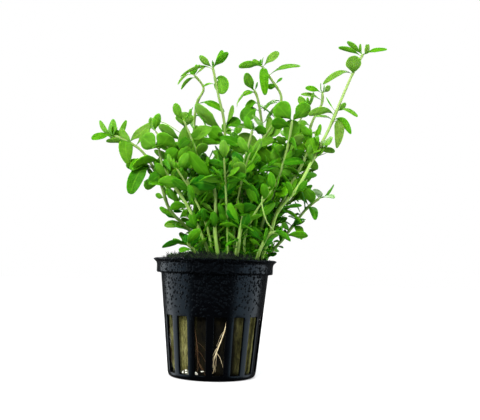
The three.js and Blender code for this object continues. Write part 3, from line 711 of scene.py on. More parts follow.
def young_route(i, aside):
    ring = math.sqrt((i + 0.5) / YOUNG_COUNT)
    luck = chance(i, 5)
    height = mix(YOUNG_TALL, YOUNG_SHORT, ring * ring) * mix(0.8, 1.2, luck)
    turn = (i * GOLDEN_TURN + FIRST_YOUNG_HEADING + aside) * DEGREE
    out = (math.cos(turn), math.sin(turn))
    foot = YOUNG_SPREAD * ring
    lean = height * mix(INNER_LEAN, OUTER_LEAN, ring)
    stops = []
    for share in YOUNG_STOPS:
        radius = foot + lean * share ** YOUNG_BEND
        bow = (luck - 0.5) * YOUNG_SWAY * math.sin(share * math.pi)
        stops.append((YOUNG_CENTRE[0] + out[0] * radius - out[1] * bow,
                      YOUNG_CENTRE[1] + out[1] * radius + out[0] * bow, STEM_FOOT + height * share))
    return Route(stops)


def corners_of(node):
    """The corners of a solid in millimetres, ready to be searched."""
    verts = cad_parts[node].data.vertices
    tree = kdtree.KDTree(len(verts))
    for vert in verts:
        tree.insert(vert.co / MM, vert.index)
    tree.balance()
    return tree


def has_corner(tree, place):
    return tree.find(place)[2] < SAME_CORNER


for i in range(YOUNG_COUNT):
    name = f"young_shoot_{i + 1:02d}"
    tree = corners_of(name)
    routes = [young_route(i, aside) for aside in STEM_TRIES]
    route = next(r for r in routes if has_corner(tree, r.spot(0) + STEM_FOOT_CORNER))
    leaves = leaf_pairs(route, 0.22, 0.9, i * 50, YOUNG_SPACING, i + 40)
    leaves += [[1, i * 50 + half + 25, 55, 8, 3] for half in (0, 180)]
    SHOOTS[name] = {"route": route, "leaves": leaves, "foot": YOUNG_FOOT_RADIUS, "tip": YOUNG_TIP_RADIUS}
print("shoots in all", len(SHOOTS), "leaves listed", sum(len(s["leaves"]) for s in SHOOTS.values()))

# %% [markdown]
# One leaf
#
# A bacopa leaf has no stalk. It leaves the stem on a rising line, bends over, and is widest past its
# middle with a blunt round end. It is thick for its size, with a groove above the midrib and a soft ridge
# below. A closed ball drawn out along the midline gives all of it at once: rounded margins, two sides and
# a thickness, with no open edges. Every corner also stores where it is on the blade for the material.

# %% Where a leaf grows
LEAF_TRIES = ((0, 0, 1), (16, 8, 1), (-16, 8, 1), (28, -12, 0.95), (-28, -12, 0.95), (0, 24, 0.85),
              (44, 10, 0.85), (-44, 10, 0.85), (0, -26, 0.75), (68, 20, 0.7), (-68, 20, 0.7))
BUD_DEPTH = 0.8
LEAF_ROOT = 0.25
BLADE_STRETCH = 1.25
CLUMP_CENTRE = (8, 0)
STEEPEST_RISE = 85
BEND_PLACE = 0.45
LEAST_TWIST = 35
MOST_TWIST = 80


def leaf_line(route, leaf, tried=(0, 0, 1)):
    at, heading, rise, length, width = leaf
    turn = (heading + tried[0]) * DEGREE
    slope = min(rise + tried[1], STEEPEST_RISE) * DEGREE
    reach = length * tried[2]
    out = around(1, turn)
    base = route.spot(min(at, 1 - BUD_DEPTH / route.length)) + out * LEAF_ROOT
    launch = (out * 0.8 + route.way(at) * 0.6).normalized()
    across = Vector((-math.sin(turn), math.cos(turn), 0))
    outward = across.x * (base.x - CLUMP_CENTRE[0]) + across.y * (base.y - CLUMP_CENTRE[1])
    luck = chance(heading + 720, math.floor(length))
    twist = (1 if outward > 0 else -1) * mix(LEAST_TWIST, MOST_TWIST, luck) * abs(math.cos(turn))
    half = width * BLADE_STRETCH * tried[2] / 2
    tip = base + out * (reach * math.cos(slope)) + Vector((0, 0, reach * math.sin(slope)))
    return {"base": base, "bend": base + launch * (reach * BEND_PLACE), "tip": tip, "across": across,
            "twist": twist * DEGREE, "half": half}


print("ways that a leaf may have been turned", len(LEAF_TRIES))


# %% Draw the ball out into a leaf
LEAF_THICK = 0.27
MARGIN_THINNING = 0.55
GROOVE_DEPTH = 0.16
GROOVE_WIDTH = 0.16
RIPPLE_HEIGHT = 0.05


def blade_width(share, widest, blunt):
    """How wide the blade is along its length: narrow at the stem, widest past the middle, then rounded."""
    rise = math.sin(min(share / widest, 1) * math.pi / 2) ** 1.5
    past = max(share - widest, 0) / (1.005 - widest)
    return max(rise * max(1 - past * past, 0) ** blunt, 0.1 * (1 - share))


def blade_mesh():
    """An empty mesh whose corners can store where they are on a blade."""
    bm = bmesh.new()
    bm.verts.layers.float_color.new("blade")
    return bm


def add_leaf(bm, line, tint, seed, sides=8, rows=8):
    layer = bm.verts.layers.float_color.get("blade")
    rng = random.Random(seed)
    cup = rng.uniform(0.04, 0.2)
    wave = rng.uniform(0, math.tau)
    widest = rng.uniform(0.54, 0.72)
    blunt = rng.uniform(0.42, 0.62)

    def shape(vert, step, aside, above):
        side = math.copysign(math.sqrt(abs(aside)), aside)
        share = 0.5 - 0.5 * math.cos(step * math.pi)
        half = line["half"] * blade_width(share, widest, blunt)
        first = line["base"].lerp(line["bend"], share)
        second = line["bend"].lerp(line["tip"], share)
        way = (second - first).normalized()
        across = (line["across"] - way * line["across"].dot(way)).normalized()
        across = Matrix.Rotation(line["twist"] * min(share * 2, 1), 3, way) @ across
        upper = way.cross(across)
        lift = 0
        if side or above:
            thick = LEAF_THICK * (1 - MARGIN_THINNING * side * side) * min(half / 1.2, 1)
            groove = GROOVE_DEPTH * math.exp(-(side / GROOVE_WIDTH) ** 2) * (1 - share * 0.7)
            ripple = RIPPLE_HEIGHT * half * math.sin(share * 9 + wave + 2.5 * side)
            lift = above * thick + cup * half * side * side - groove + ripple
        vert.co = (first.lerp(second, share) - across * (side * half) + upper * lift) * MM
        vert[layer] = (side * 0.5 + 0.5, share, 0.5 + 0.5 * above, tint)

    draw_out(bm, sides, rows, shape)


print("a leaf's width half way along", round(blade_width(0.5, widest=0.66, blunt=0.5), 2))

# %% [markdown]
# Leaf and stem colours
#
# Living leaves glow where light comes through them and are deep green where other leaves shade them. The
# shader does the glow with subsurface scattering, and part of the deep green is painted shade in the tint.
# The colour follows the blade: painted shade at the foot, a pale midrib, slightly yellow margins, a duller
# underside, and a tint that each leaf stores. The tint is dark low down, partly for the leaves' age and
# partly as painted shade, dark inside the clump as painted shade, and lighter at the tips.

# %% Leaf and stem materials
def leaf_finish():
    finish = Finish("leaf")
    side, along, above, tint = finish.blade()
    # The stored tint: dark partly for age and partly as painted shade, light at the tips and outside the
    # clump.
    age_and_shade_tone = finish.ramp(tint, (0.0, linear(7, 72, 3)), (0.5, linear(64, 116, 8)), (1.0, linear(84, 111, 42)))
    mottle = finish.noise(420.0, detail=4.0, roughness=0.6)
    deeper = finish.product(age_and_shade_tone, linear(150, 190, 110))
    patchy = finish.ramp(mottle, (0.38, BLACK), (0.62, WHITE))
    mottled = finish.partly(patchy, 0.5, age_and_shade_tone, deeper)
    # Painted shade: each leaf is darker towards its foot at the stem.
    painted_shade_at_foot = finish.ramp(along, (0.0, linear(176, 206, 150)), (0.55, WHITE))
    tone = finish.product(mottled, painted_shade_at_foot)
    from_rib = finish.maths("ABSOLUTE", finish.maths("SUBTRACT", side, 0.5))
    rib = finish.ramp(from_rib, (0.0, WHITE), (0.06, BLACK))
    ribbed = finish.partly(rib, 0.2, tone, linear(112, 172, 36))
    margin = finish.ramp(from_rib, (0.34, BLACK), (0.5, WHITE))
    edged = finish.partly(margin, 0.03, ribbed, linear(110, 176, 24))
    under = finish.ramp(above, (0.3, WHITE), (0.55, BLACK))
    sided = finish.partly(under, 0.2, edged, linear(62, 122, 26))
    finish.set(Base_Color=sided, Roughness=finish.maths("MULTIPLY_ADD", mottle, 0.2, 0.36))
    veins = finish.add("ShaderNodeTexWave", Scale=1.0, Distortion=1.5, Detail=1.0)
    slant = finish.maths("MULTIPLY", from_rib, -3.0)
    path = finish.add("ShaderNodeCombineXYZ", X=finish.maths("MULTIPLY_ADD", along, 7.0, slant))
    finish.feed(veins, "Vector", path.outputs[0])
    veined = finish.maths("MULTIPLY_ADD", veins.outputs["Fac"], 0.15, mottle)
    finish.bump(veined, strength=0.3, distance=0.0002)
    finish.set(Subsurface_Weight=0.45, Subsurface_Radius=(0.6, 1.0, 0.1), Subsurface_Scale=0.0006,
               Specular_IOR_Level=0.04, Specular_Tint=(0.7, 0.9, 0.4, 1))
    return finish.material


def stem_finish():
    finish = Finish("stem")
    _, along, above, swell = finish.blade()
    foot, middle, top = linear(116, 152, 68), linear(130, 160, 82), linear(110, 129, 72)
    pale = finish.ramp(along, (0.0, foot), (0.35, middle), (1.0, top))
    streaks = finish.noise(500.0, stretch=(4, 4, 0.25))
    lined = finish.partly(streaks, 0.6, pale, finish.product(pale, linear(180, 195, 130)))
    joint = finish.partly(swell, 0.5, lined, linear(76, 108, 30))
    # Painted shade: a stem whose foot stands back in the clump is darkened towards its foot.
    shaded = finish.between(above, linear(24, 58, 8), joint)
    finish.set(Base_Color=shaded, Roughness=finish.maths("MULTIPLY_ADD", streaks, 0.2, 0.3))
    finish.bump(streaks, strength=0.25, distance=0.0002)
    finish.set(Subsurface_Weight=0.4, Subsurface_Radius=(0.7, 1.0, 0.2), Subsurface_Scale=0.0014,
               Specular_IOR_Level=0.12)
    return finish.material


leaf_green = leaf_finish()
stem_green = stem_finish()
print("materials", leaf_green.name, stem_green.name)

# %% [markdown]
# Growing the shoots
#
# Each shoot is one grown piece: a stem that swells a little at every joint, the leaves of its solid, and
# the smaller leaves between them, which are too many for the solids. Most of those follow a formula, and
# one that would close an opening of the real plant is left out. A few that stand out are placed one by
# one. Stems use the same trick as leaves, a ball drawn out along a line, so their ends are closed.

# %% Draw a stem
STEM_ROW = 1.6
LEAST_STEM_ROWS = 12
STEM_SIDES = 8
SWELL_REACH = 0.9
FOOT_SUNK = 0.4


# pale sets how light a stem is painted at its foot: 1 leaves the foot as it is, and less gives it painted
# shade.
def add_stem(bm, route, foot, tip, joints, pale):
    layer = bm.verts.layers.float_color.get("blade")
    rows = max(LEAST_STEM_ROWS, round(route.length / STEM_ROW))

    def shape(vert, share, x, y):
        spot = route.spot(share)
        way = route.way(share)
        side = way.cross(Vector((0, 1, 0))).normalized()
        front = side.cross(way)
        near = min(abs(share - at) * route.length for at in joints)
        swell = math.exp(-(near / SWELL_REACH) ** 2)
        radius = mix(foot, tip, share) * (0.93 + 0.22 * swell)
        sunk = FOOT_SUNK if share == 0 else 0
        vert.co = (spot + (side * x + front * y) * radius - Vector((0, 0, sunk))) * MM
        vert[layer] = (0.5, share, mix(pale, 1, share), swell)

    draw_out(bm, STEM_SIDES, rows, shape)


print("rows of the first shoot's stem", round(SHOOTS["shoot_tall_right"]["route"].length / STEM_ROW))


# %% Tints
def leaf_age_and_shade(place, luck):
    """Lighter at the tips and outside of the clump, darker low down and inside it. Low down this is partly
    the leaves' age and partly painted shade; inside the clump it is painted shade.
    """
    height = smoothstep(58, 122, place.z)
    aside = smoothstep(10, 44, math.hypot(place.x - CLUMP_CENTRE[0], place.y))
    return min(1, 0.08 + 0.5 * height + 0.25 * aside + 0.3 * luck * luck - 0.35 * (1 - luck) ** 2)


print("tint low down and high up", [round(leaf_age_and_shade(Vector((8, 0, z)), 0.5), 2) for z in (60, 120)])

# %% Openings, and leaves placed one by one
# Openings, each as how far across and up it is seen at the pot's axis, and its radius.
CLEAR_SPOTS = ((47, 95, 5), (-28, 112, 5.5), (-5, 100, 5), (-19, 119, 5), (8, 116, 5), (43, 74, 4.5),
               (35, 65, 4), (27, 113, 4.5), (54, 110, 4.5), (-20, 58, 4), (49, 83, 4.5), (15, 107, 4))
EYE_ACROSS = 10.4
EYE_AWAY = 320
EYE_HEIGHT = 46
# Leaves that stand out, each as the shoots' own leaves are given.
PLACED_LEAVES = {
    "shoot_front_centre": [[1, 35, 62, 9, 5.2], [1, 160, 70, 7, 3], [0.86, 178, 55, 9, 2.6],
                           [0.8, 5, 25, 9, 3], [0.7, 185, 8, 9, 2.6], [0.55, 12, 45, 7, 2.2],
                           [0.45, 172, 40, 6, 2]],
    "shoot_front_left": [[0.7, 10, 55, 8, 2.6], [0.62, 185, 35, 8, 2.6], [0.35, 5, 40, 6, 2]],
    "shoot_runner_right": [[0.55, 10, 30, 8, 3], [0.4, 185, 30, 6, 2.4], [0.75, 0, -20, 7, 2.6]],
    "shoot_low_left": [[0.8, 185, 20, 8, 3], [0.6, 5, 45, 7, 2.6]],
    "shoot_tall_left": [[0.66, 174, 42, 19, 7], [0.7, 20, 70, 10, 3.2]],
    "shoot_tall_centre": [[0.64, 175, 50, 11, 5], [0.72, 190, 35, 10, 4.6], [0.8, 170, -30, 9, 4]],
    "shoot_centre_back": [[0.8, 5, 55, 11, 4.4], [0.7, 10, 40, 9, 4], [0.88, 0, 25, 9, 4]],
    "shoot_left": [[0.88, 182, -14, 12, 6.4]],
    "shoot_arching_left": [[0.24, 185, 20, 9, 3.6], [0.3, 170, -12, 8, 3.2], [0.36, 190, 30, 8, 3],
                           [0.27, 200, -4, 9, 3.4]],
}


def in_clear_spot(line):
    """Whether a leaf, seen from the front, would close one of the openings between the shoots."""
    middle = line["base"].lerp(line["tip"], 0.6)
    nearer = EYE_AWAY / (EYE_AWAY + middle.y)
    across = EYE_ACROSS + (middle.x - EYE_ACROSS) * nearer
    up = EYE_HEIGHT + (middle.z - EYE_HEIGHT) * nearer
    return any(math.hypot(across - x, up - z) < radius for x, z, radius in CLEAR_SPOTS)


print("openings", len(CLEAR_SPOTS), "placed leaves", sum(map(len, PLACED_LEAVES.values())))

# %% Leaves that the solids leave out
SMALL_TOP = 112
BROAD_LOW = 80
BROAD_HIGH = 106
NEEDLES = 5
NEEDLE_WIDTH = 0.6


def extra_leaves(made, count):
    """Leaves that the solids leave out: small pairs most of the way up and seldom on the front stems,
    broad pairs half way up, a few leaves as thin as needles, and a bud at the tip."""
    route = made["route"]
    extra = []
    for k, half, at in opposite(0.06, 0.88, max(2, round(route.length * 0.8 / 3))):
        luck = chance(count * 7 + k, half + 11)
        behind = route.spot(at).y > -4 - 4 * luck
        if route.spot(at).z < SMALL_TOP and (behind or at > 0.3 and luck > 0.62):
            heading = count * 37 + k * 90 + half + 45 + 30 * luck
            length = mix(4.5, 8, luck) * mix(0.9, 1.3, at)
            extra.append([at, heading, mix(-10, 60, luck), length, length * mix(0.25, 0.36, luck)])
    for k, half, at in opposite(0.4, 0.92, max(1, round(route.length * 0.5 / 10))):
        luck = chance(count * 5 + k, half + 29)
        if BROAD_LOW < route.spot(at).z < BROAD_HIGH:
            heading = count * 71 + k * 90 + half + 40 * luck
            width = mix(3.0, 5.6, chance(k * 3 + half, count))
            extra.append([at, heading, mix(-35, 45, luck), mix(9, 15, luck), width])
    for k in range(NEEDLES):
        luck = chance(count * 3 + k, 77)
        extra.append([mix(0.2, 0.75, luck), count * 97 + k * 137, mix(-20, 60, luck), mix(4, 8, luck),
                      NEEDLE_WIDTH])
    for half in (0, 180):
        luck = chance(count + 3, half)
        extra.append([1, count * 53 + half, 62 + 16 * luck, mix(3, 5, luck), 1.5])
    return extra


print("more leaves on the first shoot", len(extra_leaves(SHOOTS["shoot_tall_right"], 0)))

# %% Build every shoot
LIT_FOOT_Y = -3.5
SHADED_FOOT = 0.15
FULL_WIDTH_WORDS = ("front", "left", "low", "runner")
LOW_WIDTH = 0.42


def taken_line(route, leaf, tree):
    lines = [leaf_line(route, leaf, tried) for tried in LEAF_TRIES]
    return next((line for line in lines if has_corner(tree, line["tip"])), None)


def add_solid_leaves(bm, name, made, count):
    """The leaves of the shoot's solid. Low in the clump they are narrower, except on the shoots at the
    front and left and on the low ones."""
    tree = corners_of(name)
    lines = [taken_line(made["route"], leaf, tree) for leaf in made["leaves"]]
    full_width = any(word in name for word in FULL_WIDTH_WORDS)
    sides, rows = (8, 8) if "young" in name else (16, 16)
    for k, line in enumerate(lines):
        if line:
            line["half"] *= 1 if full_width else mix(LOW_WIDTH, 1, smoothstep(64, 94, line["tip"].z))
            add_leaf(bm, line, leaf_age_and_shade(line["tip"], chance(k, count)), count * 100 + k, sides, rows)
    return sum(line is not None for line in lines)


def add_more_leaves(bm, name, made, count):
    """The leaves that only this piece has: those of the formula, then those placed one by one."""
    extra = [leaf_line(made["route"], leaf) for leaf in extra_leaves(made, count)]
    for k, line in enumerate(line for line in extra if not in_clear_spot(line)):
        luck = chance(k + 50, count)
        line["twist"] = mix(-85, 85, luck) * DEGREE
        add_leaf(bm, line, leaf_age_and_shade(line["tip"], luck) * 0.85, count * 100 + 50 + k)
    for k, leaf in enumerate(PLACED_LEAVES.get(name, [])):
        line = leaf_line(made["route"], leaf)
        line["twist"] *= 0.5
        add_leaf(bm, line, mix(0.45, 0.9, chance(k + 9, count)), count * 100 + 90 + k)


def grow(name, made, count):
    bm = blade_mesh()
    joints = sorted({round(leaf[0], 3) for leaf in made["leaves"]})
    lit = made["route"].spot(0).y < LIT_FOOT_Y
    add_stem(bm, made["route"], made["foot"], made["tip"], joints, 1 if lit else SHADED_FOOT)
    stem_faces = len(bm.faces)
    found = add_solid_leaves(bm, name, made, count)
    add_more_leaves(bm, name, made, count)
    bm.faces.ensure_lookup_table()
    for index in range(stem_faces, len(bm.faces)):
        bm.faces[index].material_index = 1
    finish_piece(f"{name}_grown", bm, [stem_green, leaf_green], [name])
    return found


found = sum(grow(name, made, count) for count, (name, made) in enumerate(SHOOTS.items()))
print("leaves found in the solids", found)

# %% [markdown]
# The undergrowth
#
# Low between the stems the clump is a dark thicket of small narrow leaves, old side shoots that get little
# light. Their tints are kept low, partly for age and partly as painted shade for the inside of the clump.
# Single leaves scattered in a bowl around the stems' feet read the same as whole side shoots would,
# because their joints can't be seen, and each has only a few dozen faces. Most of them stay behind the
# front stems.

# %% Scatter the small dark leaves
UNDERGROWTH_LEAVES = 2000
UNDERGROWTH_CENTRE = (8, 3)
UNDERGROWTH_TOP = 42
UNDERGROWTH_LOW_REACH = 15
UNDERGROWTH_HIGH_REACH = 27
FRONT_STEMS_Y = -11
FRONT_LEAVES_Y = -23
FRONT_LEAVES_LOW = 6


def loose_line(foot, heading, rise, length, twist, half):
    """A leaf's line that starts from no stem."""
    out = around(1, heading)
    tip = foot + out * (length * math.cos(rise)) + Vector((0, 0, length * math.sin(rise)))
    bend = foot + (out * 0.8 + Vector((0, 0, 0.6))) * (length * BEND_PLACE)
    return {"base": foot, "bend": bend, "tip": tip, "twist": twist, "across": Vector((-out.y, out.x, 0)),
            "half": half}


def make_undergrowth():
    rng = random.Random(23)
    bm = blade_mesh()
    added = 0
    while added < UNDERGROWTH_LEAVES:
        height = UNDERGROWTH_TOP * rng.random() ** 1.3
        reach = mix(UNDERGROWTH_LOW_REACH, UNDERGROWTH_HIGH_REACH, height / UNDERGROWTH_TOP)
        reach *= math.sqrt(rng.random())
        turn = rng.uniform(0, math.tau)
        foot = around(reach, turn, STEM_FOOT + height, UNDERGROWTH_CENTRE)
        if foot.y > FRONT_STEMS_Y or height > FRONT_LEAVES_LOW and foot.y > FRONT_LEAVES_Y:
            line = loose_line(foot, rng.uniform(0, math.tau), rng.uniform(0, 70) * DEGREE,
                              rng.uniform(3.5, 8), rng.uniform(-80, 80) * DEGREE, rng.uniform(0.4, 1.2))
            # A low tint: partly old leaves, partly painted shade for the inside of the clump.
            add_leaf(bm, line, 0.7 * rng.random() ** 1.3, added, sides=6, rows=6)
            added += 1
    return finish_piece("undergrowth", bm, [leaf_green])


undergrowth = make_undergrowth()
print("undergrowth leaves", UNDERGROWTH_LEAVES, "faces", len(undergrowth.data.polygons))

# %% [markdown]
# Thin twigs
#
# A few loose stems are as thin as thread: one hangs down at the front, and two dry ones stick out higher
# up. They are drawn as the stems are, one line each, in one piece because none is thick enough to matter
# by itself.

# %% Loose thin stems
# Each twig's radius, then its points.
TWIGS = {
    "hanging": (0.36, [(24.7, -17, 83.3), (20.6, -22, 80.3), (19.5, -23, 74.8), (21.8, -22, 67.3),
                       (25.3, -20.5, 63.6)]),
    "dry_left": (0.2, [(-27.6, -8, 112), (-23, -7, 110.6), (-17, -6, 107)]),
    "dry_centre": (0.2, [(7.5, 4, 122), (8.6, 5, 126.5), (13, 7, 130.6)]),
}


def make_twigs():
    bm = blade_mesh()
    for radius, stops in TWIGS.values():
        add_stem(bm, Route(stops), radius, radius * 0.8, joints=[0.35, 0.7], pale=0.8)
    return finish_piece("thin_twigs", bm, [stem_green])


twigs = make_twigs()
print("thin twigs", len(TWIGS), "faces", len(twigs.data.polygons))

# %% [markdown]
# Roots
#
# A few pale roots have grown out of the plug and run down behind the slots, with side roots as thin as
# hair. Each is a thin strand along the solid root's line, thicker at its start, with finer ones leaving
# it. Where two slots end low down at the front, a tangle of short white tips shows.

# %% Root materials
def root_finish(name, dark, light):
    finish = Finish(name)
    tone = finish.noise(700.0)
    finish.set(Base_Color=finish.ramp(tone, (0.3, dark), (0.7, light)), Roughness=0.55,
               Specular_IOR_Level=0.2)
    finish.bump(tone, strength=0.3, distance=0.0002)
    return finish.material


root_pale = root_finish("root_pale", linear(150, 130, 92), linear(214, 200, 164))
root_white = root_finish("root_white", linear(190, 188, 170), linear(240, 240, 228))
root_old = root_finish("root_old", linear(44, 28, 12), linear(76, 54, 29))
print("materials", root_pale.name, root_white.name, root_old.name)

# %% Roots on the plug
ROOT_OFFSET = 0.65
ROOT_STEPS = 24
SIDE_ROOTS = 12
SIDE_ROOT_STEPS = 8
SIDE_ROOT_LOW = 2.2
# Each root's finish and radius, then its points on the plug as heading and height.
ROOTS = {
    "root_front": (root_pale, 0.25, ((-71, 30), (-73, 23), (-76, 19), (-81, 14), (-86, 9), (-85, 5),
                                     (-88, 3))),
    "root_front_left": (root_old, 0.19, ((-112, 24), (-108, 15), (-107, 9), (-100, 4))),
    "root_left": (root_old, 0.3, ((170, 34), (176, 24), (171, 15), (178, 6))),
    "root_back": (root_pale, 0.36, ((82, 36), (88, 25), (84, 16), (92, 9), (90, 3))),
    "root_right": (root_pale, 0.3, ((18, 30), (12, 22), (16, 13), (9, 5))),
}


def on_plug(heading, height, offset):
    return around(plug_radius(height * MM) + offset * MM, heading * DEGREE, height * MM)


def make_root(name, finish, thick, stops):
    rng = random.Random(name)
    bm = bmesh.new()
    line = Route([(heading, height, 0) for heading, height in stops])
    spots = [line.spot(k / ROOT_STEPS) for k in range(ROOT_STEPS + 1)]
    strand(bm, [on_plug(s.x, s.y, ROOT_OFFSET) for s in spots], thick * MM, sides=8, taper=0.5)
    for _ in range(SIDE_ROOTS):
        start = line.spot(rng.uniform(0.05, 0.8))
        drift = rng.uniform(-15, 15)
        drop = rng.uniform(4, 11)
        points = []
        for k in range(SIDE_ROOT_STEPS + 1):
            share = k / SIDE_ROOT_STEPS
            heading = start.x + drift * share ** 0.7 + rng.uniform(-0.3, 0.3)
            height = max(start.y - drop * k / SIDE_ROOT_STEPS, SIDE_ROOT_LOW)
            points.append(on_plug(heading, height, mix(ROOT_OFFSET, 0.2, share)))
        if (points[-1] - points[-2]).length > 0.1 * MM:
            strand(bm, points, rng.uniform(0.06, 0.12) * MM, sides=5, taper=0.4)
    return finish_piece(f"{name}_grown", bm, [finish], [name])


for name, (finish, thick, stops) in ROOTS.items():
    make_root(name, finish, thick, stops)
print("roots", len(ROOTS))

# %% White root tips
TIP_ROOTS = 18
TIP_STEPS = 5


def make_root_tips():
    rng = random.Random(31)
    bm = bmesh.new()
    for _ in range(TIP_ROOTS):
        heading, height = rng.uniform(-134, -102), rng.uniform(2.7, 4.2)
        turn = rng.uniform(2, 5)
        points = [on_plug(heading + turn * k / TIP_STEPS, height + rng.uniform(-0.2, 0.2), 0.5)
                  for k in range(TIP_STEPS + 1)]
        strand(bm, points, rng.uniform(0.18, 0.32) * MM, sides=6, taper=0.6)
    return finish_piece("root_tips", bm, [root_white])


root_tips = make_root_tips()
print("root tips", TIP_ROOTS, "faces", len(root_tips.data.polygons))

# %% [markdown]
# Moss and litter over the wool
#
# The top of the plug is hidden by a dark mat of tiny plants and shed leaves that rises a little above the
# lip. It is many small pointed blades, each of a few faces, standing at all angles on a low mound. At the
# back, where more light reaches it, the blades are longer and fresher.

# %% Moss material
def moss_finish():
    finish = Finish("moss")
    tint = finish.blade()[-1]
    tone = finish.ramp(tint, (0.0, linear(2, 8, 3)), (0.6, linear(8, 23, 7)), (1.0, linear(46, 78, 26)))
    grain = finish.noise(900.0)
    shaded = finish.partly(grain, 0.5, tone, linear(8, 14, 4))
    finish.set(Base_Color=shaded, Roughness=0.8, Specular_IOR_Level=0.2)
    finish.bump(grain, strength=0.4, distance=0.0003)
    return finish.material


moss_green = moss_finish()
print("material", moss_green.name)

# %% The dark mat
MAT_RADIUS = 24.2
MAT_EDGE_HEIGHT = 51.1
MAT_MOUND = 2.7
MAT_EDGE_DROP = 1.4
MAT_EDGE_START = 21
MAT_UNDERSIDE = 49
MAT_BLADES = 3200


def mat_height(radius):
    mound = MAT_MOUND * (1 - (radius / MAT_RADIUS) ** 2)
    return MAT_EDGE_HEIGHT + mound - MAT_EDGE_DROP * smoothstep(MAT_EDGE_START, MAT_RADIUS, radius)


def make_mat():
    rng = random.Random(11)
    bm = blade_mesh()
    layer = bm.verts.layers.float_color.get("blade")

    def mound(vert, step, x, y):
        radius = MAT_RADIUS * math.sin(step * math.pi)
        height = mat_height(radius) + rng.uniform(-0.5, 0.3) if step < 0.55 else MAT_UNDERSIDE
        vert.co = Vector((radius * x, radius * y, height)) * MM
        vert[layer] = (0.5, 0.5, 1, rng.uniform(0, 0.25))

    draw_out(bm, 48, 16, mound)
    for _ in range(MAT_BLADES):
        radius = MAT_RADIUS * math.sqrt(rng.random())
        heading = rng.uniform(0, math.tau)
        foot = around(radius, heading, mat_height(radius) - 0.5)
        at_back = smoothstep(-2, 14, foot.y)
        length = rng.uniform(1.4, 3.6) * (1.15 if rng.random() < 0.2 else 0.85) * mix(1, 1.3, at_back)
        lean = Vector((rng.gauss(0, 0.7), rng.gauss(0, 0.7), 1)).normalized()
        wide = around(1, heading * 3) * rng.uniform(0.25, 0.6)
        tint = rng.random() ** mix(2.2, 0.8, at_back)

        def blade(vert, step, x, y):
            flat = wide * x + lean.cross(wide) * (0.4 * y)
            vert.co = (foot + lean * (length * step) + flat * (1 - step)) * MM
            vert[layer] = (0.5, 0.5, 1, tint)

        draw_out(bm, 3, 3, blade)
    return finish_piece("moss_mat", bm, [moss_green])


moss = make_mat()
print("mat faces", len(moss.data.polygons))

# %% [markdown]
# Creeping leaves
#
# Behind the stems small round leaves creep over the mat, low and nearly flat. They are loose leaves like
# those of the undergrowth, only shorter and broader, spread over the back half of the mat.

# %% Small leaves that creep over the back of the mat
CREEPING_LEAVES = 260
CREEPING_REACH = 0.94 * MAT_RADIUS


def make_creeping_leaves():
    rng = random.Random(47)
    bm = blade_mesh()
    for k in range(CREEPING_LEAVES):
        radius = CREEPING_REACH * math.sqrt(rng.random())
        turn = rng.uniform(8, 172) * DEGREE
        foot = around(radius, turn, mat_height(radius) + 0.3)
        line = loose_line(foot, rng.uniform(0, math.tau), rng.uniform(0, 35) * DEGREE,
                          rng.uniform(2, 3.8), rng.uniform(-40, 40) * DEGREE, rng.uniform(0.5, 0.95))
        add_leaf(bm, line, rng.uniform(0.15, 0.7), k, sides=6, rows=6)
    return finish_piece("creeping_leaves", bm, [leaf_green])


creeping = make_creeping_leaves()
print("creeping leaves", CREEPING_LEAVES, "faces", len(creeping.data.polygons))

# %% [markdown]
# The studio
#
# The plant stands on a white floor before white. A soft light high at the front left, two broad walls of
# light at the sides, one behind the leaves and one overhead show the blades and let some glow through.
# The black pot shows its form only by what it reflects, so the sides are bright and the front is dark.
# The floor gives its own light, so that it stays white without lighting the pot's underside too much.

# %% Camera
EYE = Vector((EYE_ACROSS, -EYE_AWAY, EYE_HEIGHT)) * MM
LOOK_AT = Vector((EYE_ACROSS, 0, 73.9)) * MM
FOCAL_PIXELS = 712
FRAME_PIXELS = 480
SENSOR = 36
LEAN = 0.0297

camera_data = bpy.data.cameras.new("camera")
camera_data.sensor_width = SENSOR
camera_data.lens = FOCAL_PIXELS / FRAME_PIXELS * SENSOR
camera = bpy.data.objects.new("camera", camera_data)
camera.matrix_world = (Matrix.Translation(EYE) @ (LOOK_AT - EYE).to_track_quat("-Z", "Y").to_matrix().to_4x4()
                       @ Matrix.Rotation(LEAN, 4, "Z"))
bpy.context.scene.collection.objects.link(camera)
bpy.context.scene.camera = camera
print("lens", round(camera_data.lens, 1), "mm")

# %% White floor
def make_floor():
    bm = bmesh.new()
    bmesh.ops.create_grid(bm, x_segments=1, y_segments=1, size=2.5)
    mesh = bpy.data.meshes.new("floor")
    bm.to_mesh(mesh)
    bm.free()
    finish = Finish("floor")
    away = finish.add("ShaderNodeVectorMath", Vector=finish.place())
    away.operation = "LENGTH"
    glow = finish.add("ShaderNodeMapRange", Value=away.outputs["Value"], From_Min=0.25, From_Max=0.9,
                      To_Min=0.44, To_Max=1.0)
    finish.set(Base_Color=(0.3, 0.3, 0.3, 1), Roughness=0.9, Specular_IOR_Level=0.1,
               Emission_Color=WHITE, Emission_Strength=glow.outputs["Result"])
    mesh.materials.append(finish.material)
    floor = bpy.data.objects.new("floor", mesh)
    floor.visible_glossy = False
    bpy.context.scene.collection.objects.link(floor)
    return floor


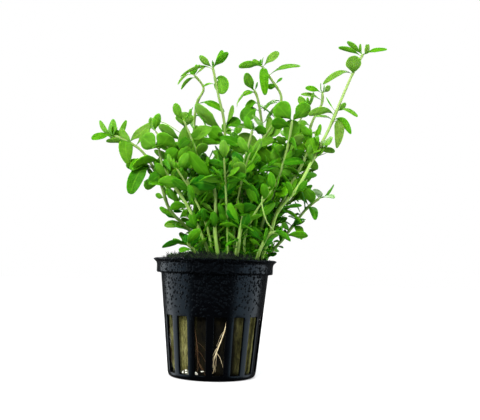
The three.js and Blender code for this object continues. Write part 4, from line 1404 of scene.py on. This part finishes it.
floor = make_floor()
print("floor", [round(side, 2) for side in floor.dimensions])


# %% White world
def make_world():
    world = bpy.data.worlds.new("studio")
    bpy.context.scene.world = world
    world.use_nodes = True
    tree = world.node_tree
    light_path = tree.nodes.new("ShaderNodeLightPath")
    seen = tree.nodes.new("ShaderNodeBackground")
    seen.inputs["Color"].default_value = WHITE
    seen.inputs["Strength"].default_value = 1.0
    glow = tree.nodes["Background"]
    glow.inputs["Color"].default_value = (0.97, 0.98, 1, 1)
    glow.inputs["Strength"].default_value = 0.12
    choose = tree.nodes.new("ShaderNodeMixShader")
    tree.links.new(light_path.outputs["Is Camera Ray"], choose.inputs[0])
    tree.links.new(glow.outputs[0], choose.inputs[1])
    tree.links.new(seen.outputs[0], choose.inputs[2])
    tree.links.new(choose.outputs[0], tree.nodes["World Output"].inputs["Surface"])


make_world()
print("world", bpy.context.scene.world.name)


# %% Soft lights
def make_light(name, place, size, power, aim=(0.008, 0, 0.08), colour=(1, 1, 1)):
    data = bpy.data.lights.new(name, "AREA")
    data.shape = "RECTANGLE"
    data.size, data.size_y = size
    data.energy = power
    data.color = colour
    light = bpy.data.objects.new(name, data)
    turn = (Vector(aim) - Vector(place)).to_track_quat("-Z", "Y").to_matrix().to_4x4()
    light.matrix_world = Matrix.Translation(place) @ turn
    bpy.context.scene.collection.objects.link(light)


make_light("front_soft", (-0.2, -0.55, 0.5), (0.36, 0.36), 14.6)
make_light("left_wall", (-0.58, 0.02, 0.04), (0.84, 0.66), 11.0, (0, 0.02, 0.04), (0.9, 0.96, 1))
make_light("right_wall", (0.58, -0.1, 0.04), (0.8, 0.66), 11.0, (0, -0.1, 0.04), (0.9, 0.96, 1))
make_light("behind", (0.1, 0.45, 0.5), (0.5, 0.4), 6.5)
make_light("overhead", (0.0, 0.0, 1.2), (1.4, 1.4), 8.0)
scene = bpy.context.scene
scene.view_settings.view_transform = "Standard"
scene.view_settings.look = "None"
scene.view_settings.exposure = 0.0

# %% Update the view layer
bpy.context.view_layer.update()
